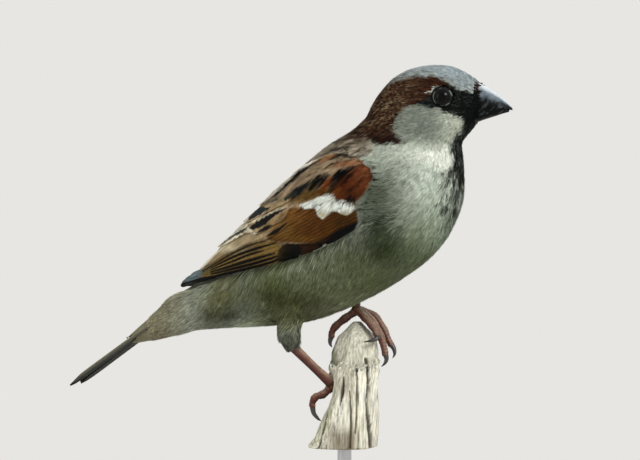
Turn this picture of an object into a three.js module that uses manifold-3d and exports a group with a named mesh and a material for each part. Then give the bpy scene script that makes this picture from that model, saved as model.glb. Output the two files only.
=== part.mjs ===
// A male house sparrow at life size, gripping a cut length of weathered branch on a plain display stand.
// Millimetres, +Z up, +X the way the bird faces, +Y its left.
// The origin is the middle of the stand's underside.
import * as THREE from "three";
import { mergeVertices } from "three/addons/utils/BufferGeometryUtils.js";
import Module from "manifold-3d";

const wasm = await Module();
wasm.setup();

const GAP = 0.3; // clearance left between neighbouring solids

const STAND = { radius: 42, height: 8, bevel: 1.2, foot: 0.8, sides: 36 };
const ROD = { x: 1.2, y: 0.4, radius: 2, from: 3, to: 46, sides: 16 };

// The branch stands nearly upright: a core that ends in a stub, and an outer layer broken off lower down.
// Each station has its height, centre x and y, and half-width along x and y.
const PERCH = {
  core: [
    { z: 38.0, x: 1.4, y: 1.4, rx: 8.6, ry: 8.4 },
    { z: 45.0, x: 3.2, y: 1.5, rx: 7.4, ry: 7.6 },
    { z: 52.0, x: 4.2, y: 1.9, rx: 6.3, ry: 6.8 },
    { z: 57.0, x: 3.7, y: 2.5, rx: 6.3, ry: 6.2 },
    { z: 62.0, x: 3.1, y: 3.2, rx: 7.2, ry: 5.8 },
    { z: 67.0, x: 3.7, y: 3.8, rx: 6.9, ry: 5.2 },
    { z: 70.8, x: 4.0, y: 4.3, rx: 4.9, ry: 4.2 },
    { z: 72.8, x: 3.8, y: 4.7, rx: 2.5, ry: 2.6 },
    { z: 73.8, x: 3.6, y: 4.8, rx: 1.2, ry: 1.4 },
  ],
  layer: [
    { z: 38.0, x: 0.3, y: -0.6, rx: 9.9, ry: 8.6 },
    { z: 41.0, x: 1.5, y: -0.7, rx: 8.7, ry: 8.1 },
    { z: 46.0, x: 2.7, y: -0.8, rx: 7.7, ry: 7.4 },
    { z: 51.4, x: 4.3, y: -0.9, rx: 6.5, ry: 6.6 },
    { z: 56.2, x: 4.9, y: -1.0, rx: 6.2, ry: 6.0 },
    { z: 60.0, x: 5.8, y: -1.2, rx: 6.1, ry: 5.4 },
    { z: 61.6, x: 6.3, y: -1.3, rx: 5.5, ry: 4.8 },
  ],
  sides: 15,
  rows: 9,
  ridges: [
    { count: 5, depth: 0.045, lean: 0.1, phase: 0.4 },
    { count: 9, depth: 0.03, lean: -0.27, phase: 1.9 },
  ],
  splinter: { angle: -0.75, from: 38.3, to: 62.4, radius: 1.5, stand: -0.9 },
};

// The body, feathers included, as sections from the tail coverts to inside the head.
// Each has its dorsal and ventral point [x, z], its half-width, how far up the widest place is, and fullness.
const BODY = {
  stations: [
    { dorsal: [-64.8, 68.3], ventral: [-63.8, 65.7], wide: 3.2, mid: 0.5, full: 2.0 },
    { dorsal: [-57.6, 74.4], ventral: [-55.2, 67.3], wide: 5.2, mid: 0.5, full: 2.0 },
    { dorsal: [-50.0, 80.4], ventral: [-46.5, 69.6], wide: 7.4, mid: 0.5, full: 2.1 },
    { dorsal: [-41.0, 88.4], ventral: [-35.0, 70.7], wide: 10.2, mid: 0.5, full: 2.1 },
    { dorsal: [-31.2, 98.5], ventral: [-22.0, 71.5], wide: 13.2, mid: 0.48, full: 2.2 },
    { dorsal: [-21.2, 109.0], ventral: [-8.0, 73.2], wide: 15.6, mid: 0.48, full: 2.2 },
    { dorsal: [-11.2, 118.4], ventral: [6.0, 78.6], wide: 16.8, mid: 0.5, full: 2.2 },
    { dorsal: [-3.6, 124.7], ventral: [18.3, 85.4], wide: 17.0, mid: 0.5, full: 2.2 },
    { dorsal: [1.8, 128.0], ventral: [29.0, 93.4], wide: 15.8, mid: 0.48, full: 2.1 },
    { dorsal: [5.4, 130.8], ventral: [36.1, 105.0], wide: 13.6, mid: 0.48, full: 2.0 },
    { dorsal: [8.6, 134.4], ventral: [37.6, 114.4], wide: 11.6, mid: 0.5, full: 2.0 },
    { dorsal: [12.6, 138.6], ventral: [36.2, 122.8], wide: 9.6, mid: 0.5, full: 2.0 },
    { dorsal: [17.0, 141.6], ventral: [35.0, 129.6], wide: 7.2, mid: 0.5, full: 2.0 },
  ],
  rows: 24,
  sides: 18,
};

// The head along x: top and bottom of the section, half-width, and how far up the widest place is.
const HEAD = {
  stations: [
    { x: 7.8, top: 132.2, bottom: 126.6, wide: 4.0, mid: 0.5 },
    { x: 10.0, top: 136.6, bottom: 122.8, wide: 7.4, mid: 0.48 },
    { x: 15.0, top: 142.8, bottom: 119.8, wide: 9.9, mid: 0.46 },
    { x: 21.0, top: 146.1, bottom: 119.2, wide: 11.1, mid: 0.44 },
    { x: 27.5, top: 147.1, bottom: 119.8, wide: 11.1, mid: 0.44 },
    { x: 33.0, top: 146.9, bottom: 122.2, wide: 10.0, mid: 0.46 },
    { x: 37.6, top: 145.1, bottom: 126.4, wide: 7.9, mid: 0.46 },
    { x: 40.6, top: 142.7, bottom: 130.0, wide: 5.4, mid: 0.48 },
    { x: 42.4, top: 140.8, bottom: 132.2, wide: 3.6, mid: 0.48 },
  ],
  full: 2.1,
  rows: 12,
  sides: 18,
};
const HEAD_CUT = { at: [22, 0, 127.3], normal: [0.232, 0, 0.973] }; // head above, neck below
const NECK_CUT = { at: [20, 0, 119.3], normal: [0.376, 0, 0.927] }; // neck above, trunk below

const BILL = {
  upper: [
    { x: 40.0, top: 142.0, bottom: 134.8, wide: 4.0, mid: 0.2 },
    { x: 43.0, top: 140.5, bottom: 134.8, wide: 3.6, mid: 0.2 },
    { x: 45.8, top: 138.9, bottom: 134.8, wide: 2.8, mid: 0.2 },
    { x: 48.0, top: 137.3, bottom: 134.6, wide: 1.9, mid: 0.2 },
    { x: 49.6, top: 135.8, bottom: 134.3, wide: 1.0, mid: 0.3 },
    { x: 50.6, top: 134.7, bottom: 134.0, wide: 0.35, mid: 0.5 },
  ],
  lower: [
    { x: 40.0, top: 134.4, bottom: 130.4, wide: 3.8, mid: 0.8 },
    { x: 43.0, top: 134.4, bottom: 131.5, wide: 3.3, mid: 0.8 },
    { x: 45.6, top: 134.3, bottom: 132.2, wide: 2.4, mid: 0.8 },
    { x: 48.0, top: 134.1, bottom: 132.9, wide: 1.4, mid: 0.7 },
    { x: 49.8, top: 133.7, bottom: 133.2, wide: 0.45, mid: 0.5 },
  ],
  full: 1.8,
  rows: 9,
  sides: 12,
};

const EYE = { x: 32.5, y: 7.25, z: 137.6, radius: 3.0 };

// The folded wing drapes over the body between its lower and upper edge, as [x, z] from shoulder to tip.
const WING = {
  low: [
    [14.6, 106.6], [9.8, 101.6], [-2, 95.6], [-13.5, 91.2],
    [-24, 88.8], [-33.6, 86.9], [-42, 84.6], [-48.4, 82.7],
  ],
  top: [
    [15.2, 117.6], [6.6, 123.4], [-5.4, 120.2], [-15.6, 112.4],
    [-25.6, 104.2], [-35, 95.4], [-43, 88.5], [-48.4, 84.3],
  ],
  stand: [0.5, 1.3, 1.5, 1.5, 1.4, 1.2, 0.8, 0.5], // how far the outside stands off the body
  inmost: [9, 7, 6, 4.6, 3.4, 2.6, 2.2, 2.0], // the least distance from the middle plane
  thick: [1.4, 2.4, 2.6, 2.6, 2.4, 2.0, 1.4, 0.9],
  rows: 14,
  across: 7,
  covertsEnd: { at: [-9.5, 0, 102.0], normal: [0.93, 0, -0.37] }, // coverts in front, quills behind
  tertialEdge: { at: [-24.0, 0, 97.6], normal: [-0.44, 0, 0.9] }, // tertials above, long quills below
};

// The tail's feathers lie side by side, the middle pair on top and each next pair a little lower.
const TAIL = {
  root: [-47.0, 0, 79.5],
  slope: 35.2, // degrees below level
  length: 42.5,
  pairs: 6,
  rootWide: 3.6,
  tipWide: 5.9,
  fan: 0.6, // degrees between neighbours
  spacing: 0.35,
  step: 0.24,
  thick: 0.8,
  notch: 0.4, // how much shorter each inner pair is
  profile: [0, 0.6, 0.92, 1],
  rounding: [1, 1, 0.74, 0.22],
};

// Legs. A toe either follows its own path or curls round the branch between two angles and heights.
const LEGS = {
  right: {
    thigh: {
      path: [[-11.6, -6.6, 83], [-12.2, -8.5, 76], [-12.2, -9, 69.6], [-10.9, -8.8, 65.2]],
      radii: [4.4, 4.5, 3.9, 2.1],
    },
    tarsus: {
      path: [[-12.5, -9.2, 68.4], [-10.1, -7.9, 65.6], [-6.0, -3.9, 60.4], [-2.7, -0.3, 56.3]],
      radii: [1.5, 1.35, 1.2, 1.4],
    },
    palm: { at: [-2.7, 0.2, 55.2], radius: 1.55 },
    toes: {
      hallux: {
        path: [[-3, -0.3, 53.9], [-4.8, -0.8, 52.9], [-6.9, -1, 52.2], [-7.9, -1, 50.6], [-8, -0.9, 49.6]],
        claw: [[-8.0, -0.9, 49.2], [-7.2, -0.8, 47.0], [-5.5, -0.6, 45.3]],
      },
      inner: { turn: [2.95, 1.95], rise: [54.6, 51.0], clawTurn: 1.5, clawRise: 49.4 },
      middle: { turn: [2.9, 1.45], rise: [56.4, 54.6], clawTurn: 0.95, clawRise: 53.4 },
      outer: { turn: [2.9, 1.9], rise: [58.0, 59.8], clawTurn: 1.45, clawRise: 59.4 },
    },
  },
  left: {
    thigh: {
      path: [[-8, 9.6, 91], [-3.4, 9.6, 84.6], [0.6, 8.4, 80.8]],
      radii: [7.0, 6.2, 3.4],
    },
    tarsus: {
      path: [[-2.6, 8.4, 87], [0.6, 7.0, 82.2], [3.1, 5.6, 78.0]],
      radii: [1.4, 1.2, 1.3],
    },
    palm: { at: [3.4, 5.3, 76.9], radius: 1.6 },
    toes: {
      hallux: {
        path: [[2.2, 5.0, 75.9], [-0.5, 4.6, 74.0], [-2.8, 4.3, 72.0], [-3.8, 4.2, 70.3], [-3.9, 4.2, 69.1]],
        claw: [[-3.9, 4.2, 68.7], [-4.1, 4.1, 67.5], [-3.6, 4.0, 66.2]],
      },
      inner: {
        path: [[4.6, 4.0, 76.3], [7.2, 2.5, 74.3], [9.7, 1.2, 71.9], [11.0, 0.4, 69.9]],
        claw: [[11.0, 0.2, 69.5], [9.8, -1.2, 68.7], [7.5, -1.8, 68.2]],
      },
      middle: {
        path: [[4.9, 5.4, 76.2], [7.8, 4.6, 74.2], [10.6, 3.8, 70.4], [12.2, 3.1, 66.2], [12.6, 2.9, 64.4]],
        claw: [[12.6, 2.8, 64.0], [12.5, 2.6, 62.2], [11.6, 2.2, 61.0]],
      },
      outer: {
        path: [[4.5, 6.8, 76.6], [7.6, 7.8, 75.2], [10.3, 7.6, 72.0], [12.1, 7.2, 68.6], [13.1, 7.0, 66.9]],
        claw: [[13.3, 6.9, 66.5], [14.1, 6.6, 64.8], [13.8, 6.0, 63.2]],
      },
    },
  },
};
const TOE = { radii: [1.15, 1.05, 0.85], pad: 0.1, pads: 3, clear: 0.3, sides: 7, rows: 10 };
const CLAW = { radii: [0.7, 0.5, 0.2], sides: 6, rows: 6 };
const LIMB = { sides: 10, rows: 8 };
const SLIVER = 0.09; // cuts leave no detail finer than this

const COLOURS = {
  crown: { color: 0x8b8d8a, roughness: 0.9 },
  body: { color: 0x8f8c80, roughness: 0.9 },
  wing: { color: 0x7b4a26, roughness: 0.8 },
  tail: { color: 0x4a4138, roughness: 0.8 },
  bill: { color: 0x25272a, roughness: 0.4 },
  eye: { color: 0x0c0a09, roughness: 0.05 },
  leg: { color: 0x8a5348, roughness: 0.6 },
  claw: { color: 0x2b2421, roughness: 0.4 },
  wood: { color: 0xb7b0a0, roughness: 0.95 },
  base: { color: 0x5a3a22, roughness: 0.5 },
  rod: { color: 0x9a9a98, roughness: 0.35, metalness: 1.0 },
};

const vec = (p) => new THREE.Vector3(...p);
const flat = ([x, z]) => new THREE.Vector3(x, 0, z);
const { lerp, clamp, degToRad } = THREE.MathUtils;

// A smooth value at t from 0 to 1 through equally spaced values.
function through(values, t) {
  const points = values.map((value) => new THREE.Vector3(value, 0, 0));
  return new THREE.CatmullRomCurve3(points, false, "catmullrom", 0.5).getPoint(t).x;
}

// A manifold solid from a closed three.js geometry, its faces turned outwards.
function toSolid(geometry) {
  const bare = geometry.clone();
  bare.deleteAttribute("normal");
  bare.deleteAttribute("uv");
  const merged = mergeVertices(bare, 1e-4);
  const vertProperties = merged.attributes.position.array;
  const triVerts = new Uint32Array(merged.index.array);
  const made = new wasm.Manifold(new wasm.Mesh({ numProp: 3, vertProperties, triVerts }));
  if (made.volume() > 0) return made;
  for (let i = 0; i < triVerts.length; i += 3) triVerts.subarray(i, i + 3).reverse();
  return new wasm.Manifold(new wasm.Mesh({ numProp: 3, vertProperties, triVerts }));
}

function middle(points) {
  return points.reduce((sum, p) => sum.add(p), new THREE.Vector3()).divideScalar(points.length);
}

// A closed solid from rings of points with a fan over each end, each end moved out by the same growth.
function fromRings(rings, grow = 0) {
  const sides = rings[0].length;
  const last = rings.length - 1;
  for (const [end, next] of [[0, 1], [last, last - 1]]) {
    const out = middle(rings[end]).sub(middle(rings[next])).normalize();
    rings[end].forEach((p) => p.addScaledVector(out, grow));
  }
  const corners = rings.flat();
  const faces = [];
  for (let r = 0; r < last; r++)
    for (let i = 0; i < sides; i++) {
      const a = r * sides + i;
      const b = r * sides + ((i + 1) % sides);
      faces.push(a, b, b + sides, a, b + sides, a + sides);
    }
  for (const [ring, flip] of [[0, true], [last, false]]) {
    const hub = corners.push(middle(rings[ring])) - 1;
    for (let i = 0; i < sides; i++) {
      const a = ring * sides + i;
      const b = ring * sides + ((i + 1) % sides);
      faces.push(...(flip ? [b, a, hub] : [a, b, hub]));
    }
  }
  return toSolid(new THREE.BufferGeometry().setFromPoints(corners).setIndex(faces));
}

// A body section: an oval whose widest place can sit off its middle.
function oval({ dorsal, ventral, wide, mid, full }, sides) {
  const centre = ventral.clone().lerp(dorsal, mid);
  return Array.from({ length: sides }, (_, i) => {
    const angle = (i / sides) * 2 * Math.PI;
    const up = Math.sign(Math.cos(angle)) * Math.abs(Math.cos(angle)) ** (2 / full);
    const out = Math.sign(Math.sin(angle)) * Math.abs(Math.sin(angle)) ** (2 / full);
    const point = centre.clone().lerp(up > 0 ? dorsal : ventral, Math.abs(up));
    return point.setY(wide * out);
  });
}

// The body's section at t, grown outwards all round.
function bodyAt(t, grow) {
  const value = (pick) => through(BODY.stations.map(pick), t);
  const dorsal = flat([value((s) => s.dorsal[0]), value((s) => s.dorsal[1])]);
  const ventral = flat([value((s) => s.ventral[0]), value((s) => s.ventral[1])]);
  const up = dorsal.clone().sub(ventral).normalize();
  dorsal.addScaledVector(up, grow);
  ventral.addScaledVector(up, -grow);
  const wide = value((s) => s.wide) + grow;
  return { dorsal, ventral, wide, mid: value((s) => s.mid), full: value((s) => s.full) };
}

function bodySolid(grow) {
  const { rows, sides } = BODY;
  return fromRings(Array.from({ length: rows }, (_, r) => oval(bodyAt(r / (rows - 1), grow), sides)), grow);
}

// How far the body's side is from the middle plane at a point of the side view.
const bodySections = Array.from({ length: 241 }, (_, i) => bodyAt(i / 240, 0));
function halfWidthAt(point) {
  const ahead = ({ dorsal, ventral }) => {
    const up = dorsal.clone().sub(ventral);
    return (point.x - ventral.x) * up.z - (point.z - ventral.z) * up.x;
  };
  const section = bodySections.find((s) => ahead(s) < 0) ?? bodySections[bodySections.length - 1];
  const up = section.dorsal.clone().sub(section.ventral);
  const share = point.clone().sub(section.ventral).dot(up) / up.lengthSq() - section.mid;
  const high = clamp(Math.abs(share) / (share > 0 ? 1 - section.mid : section.mid), 0, 1);
  return section.wide * (1 - high ** section.full) ** (1 / section.full);
}

// Sections at right angles to x, for the head and the two halves of the bill.
function alongX({ stations, full, rows, sides }, grow) {
  const rings = Array.from({ length: rows }, (_, r) => {
    const value = (key) => through(stations.map((s) => s[key]), r / (rows - 1));
    const dorsal = new THREE.Vector3(value("x"), 0, value("top") + grow);
    const ventral = new THREE.Vector3(value("x"), 0, value("bottom") - grow);
    return oval({ dorsal, ventral, wide: value("wide") + grow, mid: value("mid"), full }, sides);
  });
  return fromRings(rings, grow);
}

// A round limb along a smooth path, its radius changing on the way.
function limbSolid({ path, radii }, { sides, rows }, grow, swell = () => 0) {
  const curve = new THREE.CatmullRomCurve3(path.map(vec));
  const out = new THREE.Vector3(0, 1, 0);
  const rings = Array.from({ length: rows }, (_, r) => {
    const t = r / (rows - 1);
    const ahead = curve.getTangentAt(t);
    out.addScaledVector(ahead, -out.dot(ahead)).normalize();
    const across = ahead.clone().cross(out);
    const radius = through(radii, t) + grow + swell(t);
    return Array.from({ length: sides }, (_, i) => {
      const angle = (i / sides) * 2 * Math.PI;
      const point = curve.getPointAt(t).addScaledVector(out, Math.cos(angle) * radius);
      return point.addScaledVector(across, Math.sin(angle) * radius);
    });
  });
  return fromRings(rings, grow);
}

const ball = (at, radius) => toSolid(new THREE.SphereGeometry(radius, 12, 8).translate(...at));

// A branch's centre and half-widths at a height.
function girthAt(stations, z) {
  const last = stations.length - 1;
  const i = Math.max(1, stations.findIndex((s) => s.z >= z));
  const share = (z - stations[i - 1].z) / (stations[i].z - stations[i - 1].z);
  const at = (key) => through(stations.map((s) => s[key]), (i - 1 + clamp(share, 0, 1)) / last);
  return { x: at("x"), y: at("y"), rx: at("rx"), ry: at("ry") };
}

// A point beside the branch at an angle, away from its bark by a distance.
function beside(stations, z, angle, away) {
  const { x, y, rx, ry } = girthAt(stations, z);
  return [x + (rx + away) * Math.cos(angle), y + (ry + away) * Math.sin(angle), z];
}

function branchSolid(stations) {
  const { sides, rows, ridges } = PERCH;
  const top = stations[stations.length - 1].z;
  const rings = Array.from({ length: rows }, (_, r) => {
    const z = lerp(stations[0].z, top, r / (rows - 1));
    return Array.from({ length: sides }, (_, i) => {
      const angle = (i / sides) * 2 * Math.PI;
      const wave = (w) => w.depth * Math.cos(w.count * angle + w.lean * z + w.phase);
      const uneven = ridges.reduce((sum, w) => sum + wave(w), 0);
      return vec(beside(stations, z, angle, uneven * girthAt(stations, z).rx));
    });
  });
  return fromRings(rings);
}

function perchSolid() {
  const { angle, from, to, radius, stand } = PERCH.splinter;
  const path = [0, 0.3, 0.6, 0.85, 1].map((t) => {
    const z = lerp(from, to, t);
    return beside(PERCH.layer, Math.min(z, 61.5), angle, stand).with(2, z);
  });
  const radii = [1, 0.95, 0.9, 0.8, 0.3].map((share) => share * radius);
  const splinter = limbSolid({ path, radii }, { sides: 8, rows: 9 }, 0);
  return branchSolid(PERCH.core).add(branchSolid(PERCH.layer)).add(splinter);
}

// A closed ring moved outwards in its own plane.
function growRing(ring, up, grow) {
  const count = ring.length;
  const across = new THREE.Vector3(0, 1, 0);
  const centre = middle(ring);
  return ring.map((p, i) => {
    const along = ring[(i + 1) % count].clone().sub(ring[(i + count - 1) % count]);
    const out = across.clone().multiplyScalar(along.dot(up));
    out.addScaledVector(up, -along.dot(across)).normalize();
    if (out.dot(p.clone().sub(centre)) < 0 && i <= count / 2) out.negate();
    return p.clone().addScaledVector(out, grow);
  });
}

function wingSolid(side, grow) {
  const { low, top, stand, inmost, thick, rows, across } = WING;
  const edge = (points, t) => new THREE.CatmullRomCurve3(points.map(flat)).getPoint(t);
  const rings = Array.from({ length: rows }, (_, r) => {
    const t = r / (rows - 1);
    const [from, to] = [edge(low, t), edge(top, t)];
    const up = to.clone().sub(from).normalize();
    const outer = Array.from({ length: across + 1 }, (_, i) => {
      const point = from.clone().lerp(to, i / across);
      return point.setY(Math.max(halfWidthAt(point) + through(stand, t), through(inmost, t)));
    });
    const inner = outer.slice(1, -1).map((p, i) => {
      const along = outer[i + 2].clone().sub(outer[i]);
      const inwards = new THREE.Vector3(0, -along.dot(up), 0).addScaledVector(up, along.y).normalize();
      const full = Math.sin((Math.PI * (i + 1)) / across) ** 0.3;
      return p.clone().addScaledVector(inwards, through(thick, t) * full);
    });
    const ring = growRing([...outer, ...inner.reverse()], up, grow);
    return ring.map((p) => p.setY(p.y * side));
  });
  return fromRings(rings, grow);
}

// What is left of a solid on one side of a plane, the plane first moved towards the part cut off.
function trim(solid, { at, normal }, keep, move = 0) {
  const facing = vec(normal).normalize().multiplyScalar(keep);
  return solid.trimByPlane(facing.toArray(), facing.dot(vec(at)) - move);
}

function tailSolid(grow) {
  const { pairs, rootWide, tipWide, fan, spacing, step, thick, notch, length, profile, rounding } = TAIL;
  const section = [[-1, 0], [0, 1], [1, 0], [0, -1]];
  const feathers = [];
  for (const side of [-1, 1])
    for (let pair = 0; pair < pairs; pair++) {
      const long = length - notch * (pairs - 1 - pair);
      const rings = profile.map((t, r) => {
        const half = (lerp(rootWide, tipWide, Math.sqrt(t)) * rounding[r]) / 2;
        const high = (thick * lerp(1.3, 0.9, t)) / 2;
        return section.map(([w, h]) => new THREE.Vector3(-long * t, w * (half + grow), h * (high + grow)));
      });
      const turn = new THREE.Matrix4().makeRotationZ(degToRad(-side * (pair + 0.4) * fan));
      turn.setPosition(0, side * (pair + 0.3) * spacing, -pair * step);
      feathers.push(fromRings(rings.map((ring) => ring.map((p) => p.applyMatrix4(turn))), grow));
    }
  const tilt = new THREE.Matrix4().makeRotationY(degToRad(-TAIL.slope)).setPosition(...TAIL.root);
  return feathers.reduce((sum, feather) => sum.add(feather)).transform(tilt.elements);
}

function toePath({ path, turn, rise }) {
  if (path) return path;
  const away = TOE.radii[0] + TOE.clear;
  return [0, 0.25, 0.5, 0.75, 1].map((t) => beside(PERCH.core, lerp(...rise, t), lerp(...turn, t), away));
}

function clawPath({ claw, turn, rise, clawTurn, clawRise }) {
  if (claw) return claw;
  const away = TOE.radii[2] + TOE.clear;
  const at = (t, clear) => {
    const angle = lerp(turn[1] - 0.08, clawTurn, t);
    return beside(PERCH.core, lerp(rise[1], clawRise, t), angle, clear);
  };
  return [at(0, away + 0.2), at(0.55, away + 0.4), at(1, CLAW.radii[2] + TOE.clear)];
}

function toeSolid(toe, grow) {
  const swell = (t) => TOE.pad * Math.cos(2 * Math.PI * TOE.pads * t);
  return limbSolid({ path: toePath(toe), radii: TOE.radii }, TOE, grow, swell);
}

function standBase() {
  const { radius, height, bevel, foot, sides } = STAND;
  const outline = [
    [0, 0],
    [radius - foot, 0],
    [radius, foot],
    [radius, height - bevel],
    [radius - bevel, height],
    [0, height],
  ];
  const turned = new THREE.LatheGeometry(outline.map(([r, z]) => new THREE.Vector2(r, z)), sides);
  return toSolid(turned.rotateX(Math.PI / 2));
}

function rodSolid(grow) {
  const { x, y, radius, from, to, sides } = ROD;
  const round = new THREE.CylinderGeometry(radius + grow, radius + grow, to - from + 2 * grow, sides);
  return toSolid(round.rotateX(Math.PI / 2).translate(x, y, (from + to) / 2));
}

// Every piece in the order in which it keeps its full shape: a later one gives way to the earlier ones.
// A piece that is one of a close group leaves the clearance to the group's last piece.
const pieces = [];
const add = (name, finish, build, clear = build) => pieces.push({ name, finish, build, clear });
const sides = { right: -1, left: 1 };

add("stand_rod", "rod", rodSolid);
const upperBill = (grow) => alongX({ ...BILL, stations: BILL.upper }, grow);
const lowerBill = (grow) => alongX({ ...BILL, stations: BILL.lower }, grow);
const clawSolid = (toe, grow) => limbSolid({ path: clawPath(toe), radii: CLAW.radii }, CLAW, grow);
add("bill_upper", "bill", upperBill, null);
add("bill_lower", "bill", lowerBill, (grow) => upperBill(grow).add(lowerBill(grow)));
for (const [name, side] of Object.entries(sides)) {
  const { tarsus, palm, toes } = LEGS[name];
  add(`eye_${name}`, "eye", (grow) => ball([EYE.x, side * EYE.y, EYE.z], EYE.radius + grow));
  for (const [toe, shape] of Object.entries(toes)) {
    add(`claw_${name}_${toe}`, "claw", (grow) => clawSolid(shape, grow));
  }
  add(`tarsus_${name}`, "leg", (grow) => {
    return limbSolid(tarsus, LIMB, grow).add(ball(palm.at, palm.radius + grow));
  });
  for (const [toe, shape] of Object.entries(toes)) {
    add(`toe_${name}_${toe}`, "leg", (grow) => toeSolid(shape, grow));
  }
}
for (const [name, side] of Object.entries(sides)) {
  const { covertsEnd, tertialEdge } = WING;
  const wing = (grow) => wingSolid(side, grow);
  const behind = trim(wing(0), covertsEnd, -1, -GAP / 2);
  add(`wing_${name}_coverts`, "wing", () => trim(wing(0), covertsEnd, 1, -GAP / 2), null);
  add(`wing_${name}_tertials`, "wing", () => trim(behind, tertialEdge, 1, -GAP / 2), null);
  add(`wing_${name}_quills`, "wing", () => trim(behind, tertialEdge, -1, -GAP / 2), wing);
}
add("tail", "tail", tailSolid);

const whole = (grow) => bodySolid(grow).add(alongX(HEAD, grow));
const belowHead = trim(whole(0), HEAD_CUT, -1, -GAP / 2);
add("head", "crown", () => trim(whole(0), HEAD_CUT, 1, -GAP / 2), null);
add("neck", "body", () => trim(belowHead, NECK_CUT, 1, -GAP / 2), null);
add("trunk", "body", () => trim(whole(0), NECK_CUT, -1, -GAP / 2), whole);
for (const name of Object.keys(sides)) {
  add(`thigh_${name}`, "body", (grow) => limbSolid(LEGS[name].thigh, LIMB, grow));
}
add("perch", "wood", perchSolid);
add("stand_base", "base", standBase);

function near(a, b) {
  const [p, q] = [a.boundingBox(), b.boundingBox()];
  return [0, 1, 2].every((axis) => p.min[axis] < q.max[axis] && q.min[axis] < p.max[axis]);
}

function largest(solid) {
  return solid.decompose().reduce((best, body) => (body.volume() > best.volume() ? body : best));
}

function toMesh(solid, name, finish) {
  const { numProp, numVert, vertProperties, triVerts } = solid.getMesh();
  const places = new Float32Array(numVert * 3);
  for (let i = 0; i < numVert; i++) places.set(vertProperties.subarray(i * numProp, i * numProp + 3), i * 3);
  const geometry = new THREE.BufferGeometry().setAttribute("position", new THREE.BufferAttribute(places, 3));
  geometry.setIndex(new THREE.BufferAttribute(triVerts, 1)).computeVertexNormals();
  const mesh = new THREE.Mesh(geometry, new THREE.MeshStandardMaterial(COLOURS[finish]));
  mesh.name = name;
  return mesh;
}

const sparrow = new THREE.Group();
const keptClear = [];
for (const { name, finish, build, clear } of pieces) {
  const carve = (solid, other) => (near(solid, other) ? solid.subtract(other) : solid);
  const made = keptClear.reduce(carve, build(0));
  sparrow.add(toMesh(largest(made).simplify(SLIVER), name, finish));
  if (clear) keptClear.push(clear(GAP));
}

export default sparrow;
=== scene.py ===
import math

import bmesh
import bpy
import numpy as np
from mathutils import Matrix, Vector, noise
from mathutils.bvhtree import BVHTree


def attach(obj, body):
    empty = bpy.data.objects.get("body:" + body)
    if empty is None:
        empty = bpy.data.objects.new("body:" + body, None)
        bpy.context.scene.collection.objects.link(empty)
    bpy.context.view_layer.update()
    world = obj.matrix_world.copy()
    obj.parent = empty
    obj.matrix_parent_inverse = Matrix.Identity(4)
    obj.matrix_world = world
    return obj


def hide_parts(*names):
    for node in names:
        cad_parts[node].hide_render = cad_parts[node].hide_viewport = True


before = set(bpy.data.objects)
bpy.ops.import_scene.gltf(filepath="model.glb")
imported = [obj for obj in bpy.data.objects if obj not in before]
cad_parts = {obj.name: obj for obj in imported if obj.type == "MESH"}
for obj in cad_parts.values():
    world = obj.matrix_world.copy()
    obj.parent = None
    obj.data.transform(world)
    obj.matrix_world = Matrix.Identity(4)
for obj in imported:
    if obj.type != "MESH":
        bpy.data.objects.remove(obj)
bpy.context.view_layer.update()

mm = 0.001

# camera, floor and light

view = {"turn": 18, "rise": 2, "lens": 200, "sensor": 36, "clip": 20, "away": 1013.3,
        "target": (-6.0, 0.0, 99.8)}
turn, rise = math.radians(view["turn"]), math.radians(view["rise"])
viewRight = np.array([math.cos(turn), math.sin(turn), 0])
viewBack = np.array([math.sin(turn) * math.cos(rise), -math.cos(turn) * math.cos(rise), math.sin(rise)])
viewUp = np.cross(viewBack, viewRight)

light = {
    "world": 0.46,
    "aim": (0, 0, 95),
    "key": {"at": (380, -300, 430), "size": 260, "power": 2.5},
    "fill": {"at": (-380, -320, 240), "size": 400, "power": 0.5},
    "rim": {"at": (-60, 380, 420), "size": 300, "power": 0.9},
}
backdropColour = (0.80, 0.79, 0.76)


def addCamera():
    camera = bpy.data.objects.new("camera", bpy.data.cameras.new("camera"))
    camera.data.lens, camera.data.sensor_width = view["lens"], view["sensor"]
    camera.data.clip_end = view["clip"]
    place = (np.array(view["target"]) + viewBack * view["away"]) * mm
    axes = Matrix((viewRight, viewUp, viewBack)).transposed().to_4x4()
    camera.matrix_world = Matrix.Translation(place) @ axes
    bpy.context.scene.collection.objects.link(camera)
    bpy.context.scene.camera = camera


def addLamp(name, at, size, power):
    lamp = bpy.data.objects.new(name, bpy.data.lights.new(name, "AREA"))
    lamp.data.shape, lamp.data.size, lamp.data.energy = "DISK", size * mm, power
    lamp.location = Vector(at) * mm
    lamp.rotation_euler = (Vector(at) - Vector(light["aim"])).to_track_quat("Z", "Y").to_euler()
    bpy.context.scene.collection.objects.link(lamp)


# shader maths

class Wire:  # one socket's value, which + - * and the named steps below build on
    def __init__(self, finish, socket):
        self.finish, self.socket = finish, socket

    def maths(self, operation, *others, swap=False):
        values = [self, *others]
        if swap:
            values = values[::-1]
        return self.finish.node("Math", {"operation": operation}, dict(enumerate(values)))

    def __add__(self, other):
        return self.maths("ADD", other)

    def __radd__(self, other):
        return self.maths("ADD", other)

    def __sub__(self, other):
        return self.maths("SUBTRACT", other)

    def __rsub__(self, other):
        return self.maths("SUBTRACT", other, swap=True)

    def __mul__(self, other):
        return self.maths("MULTIPLY", other)

    def __rmul__(self, other):
        return self.maths("MULTIPLY", other)

    def step(self, low, high):
        return self.finish.node("MapRange", {"interpolation_type": "SMOOTHSTEP"},
                                {"Value": self, "From Min": low, "From Max": high})


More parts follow.
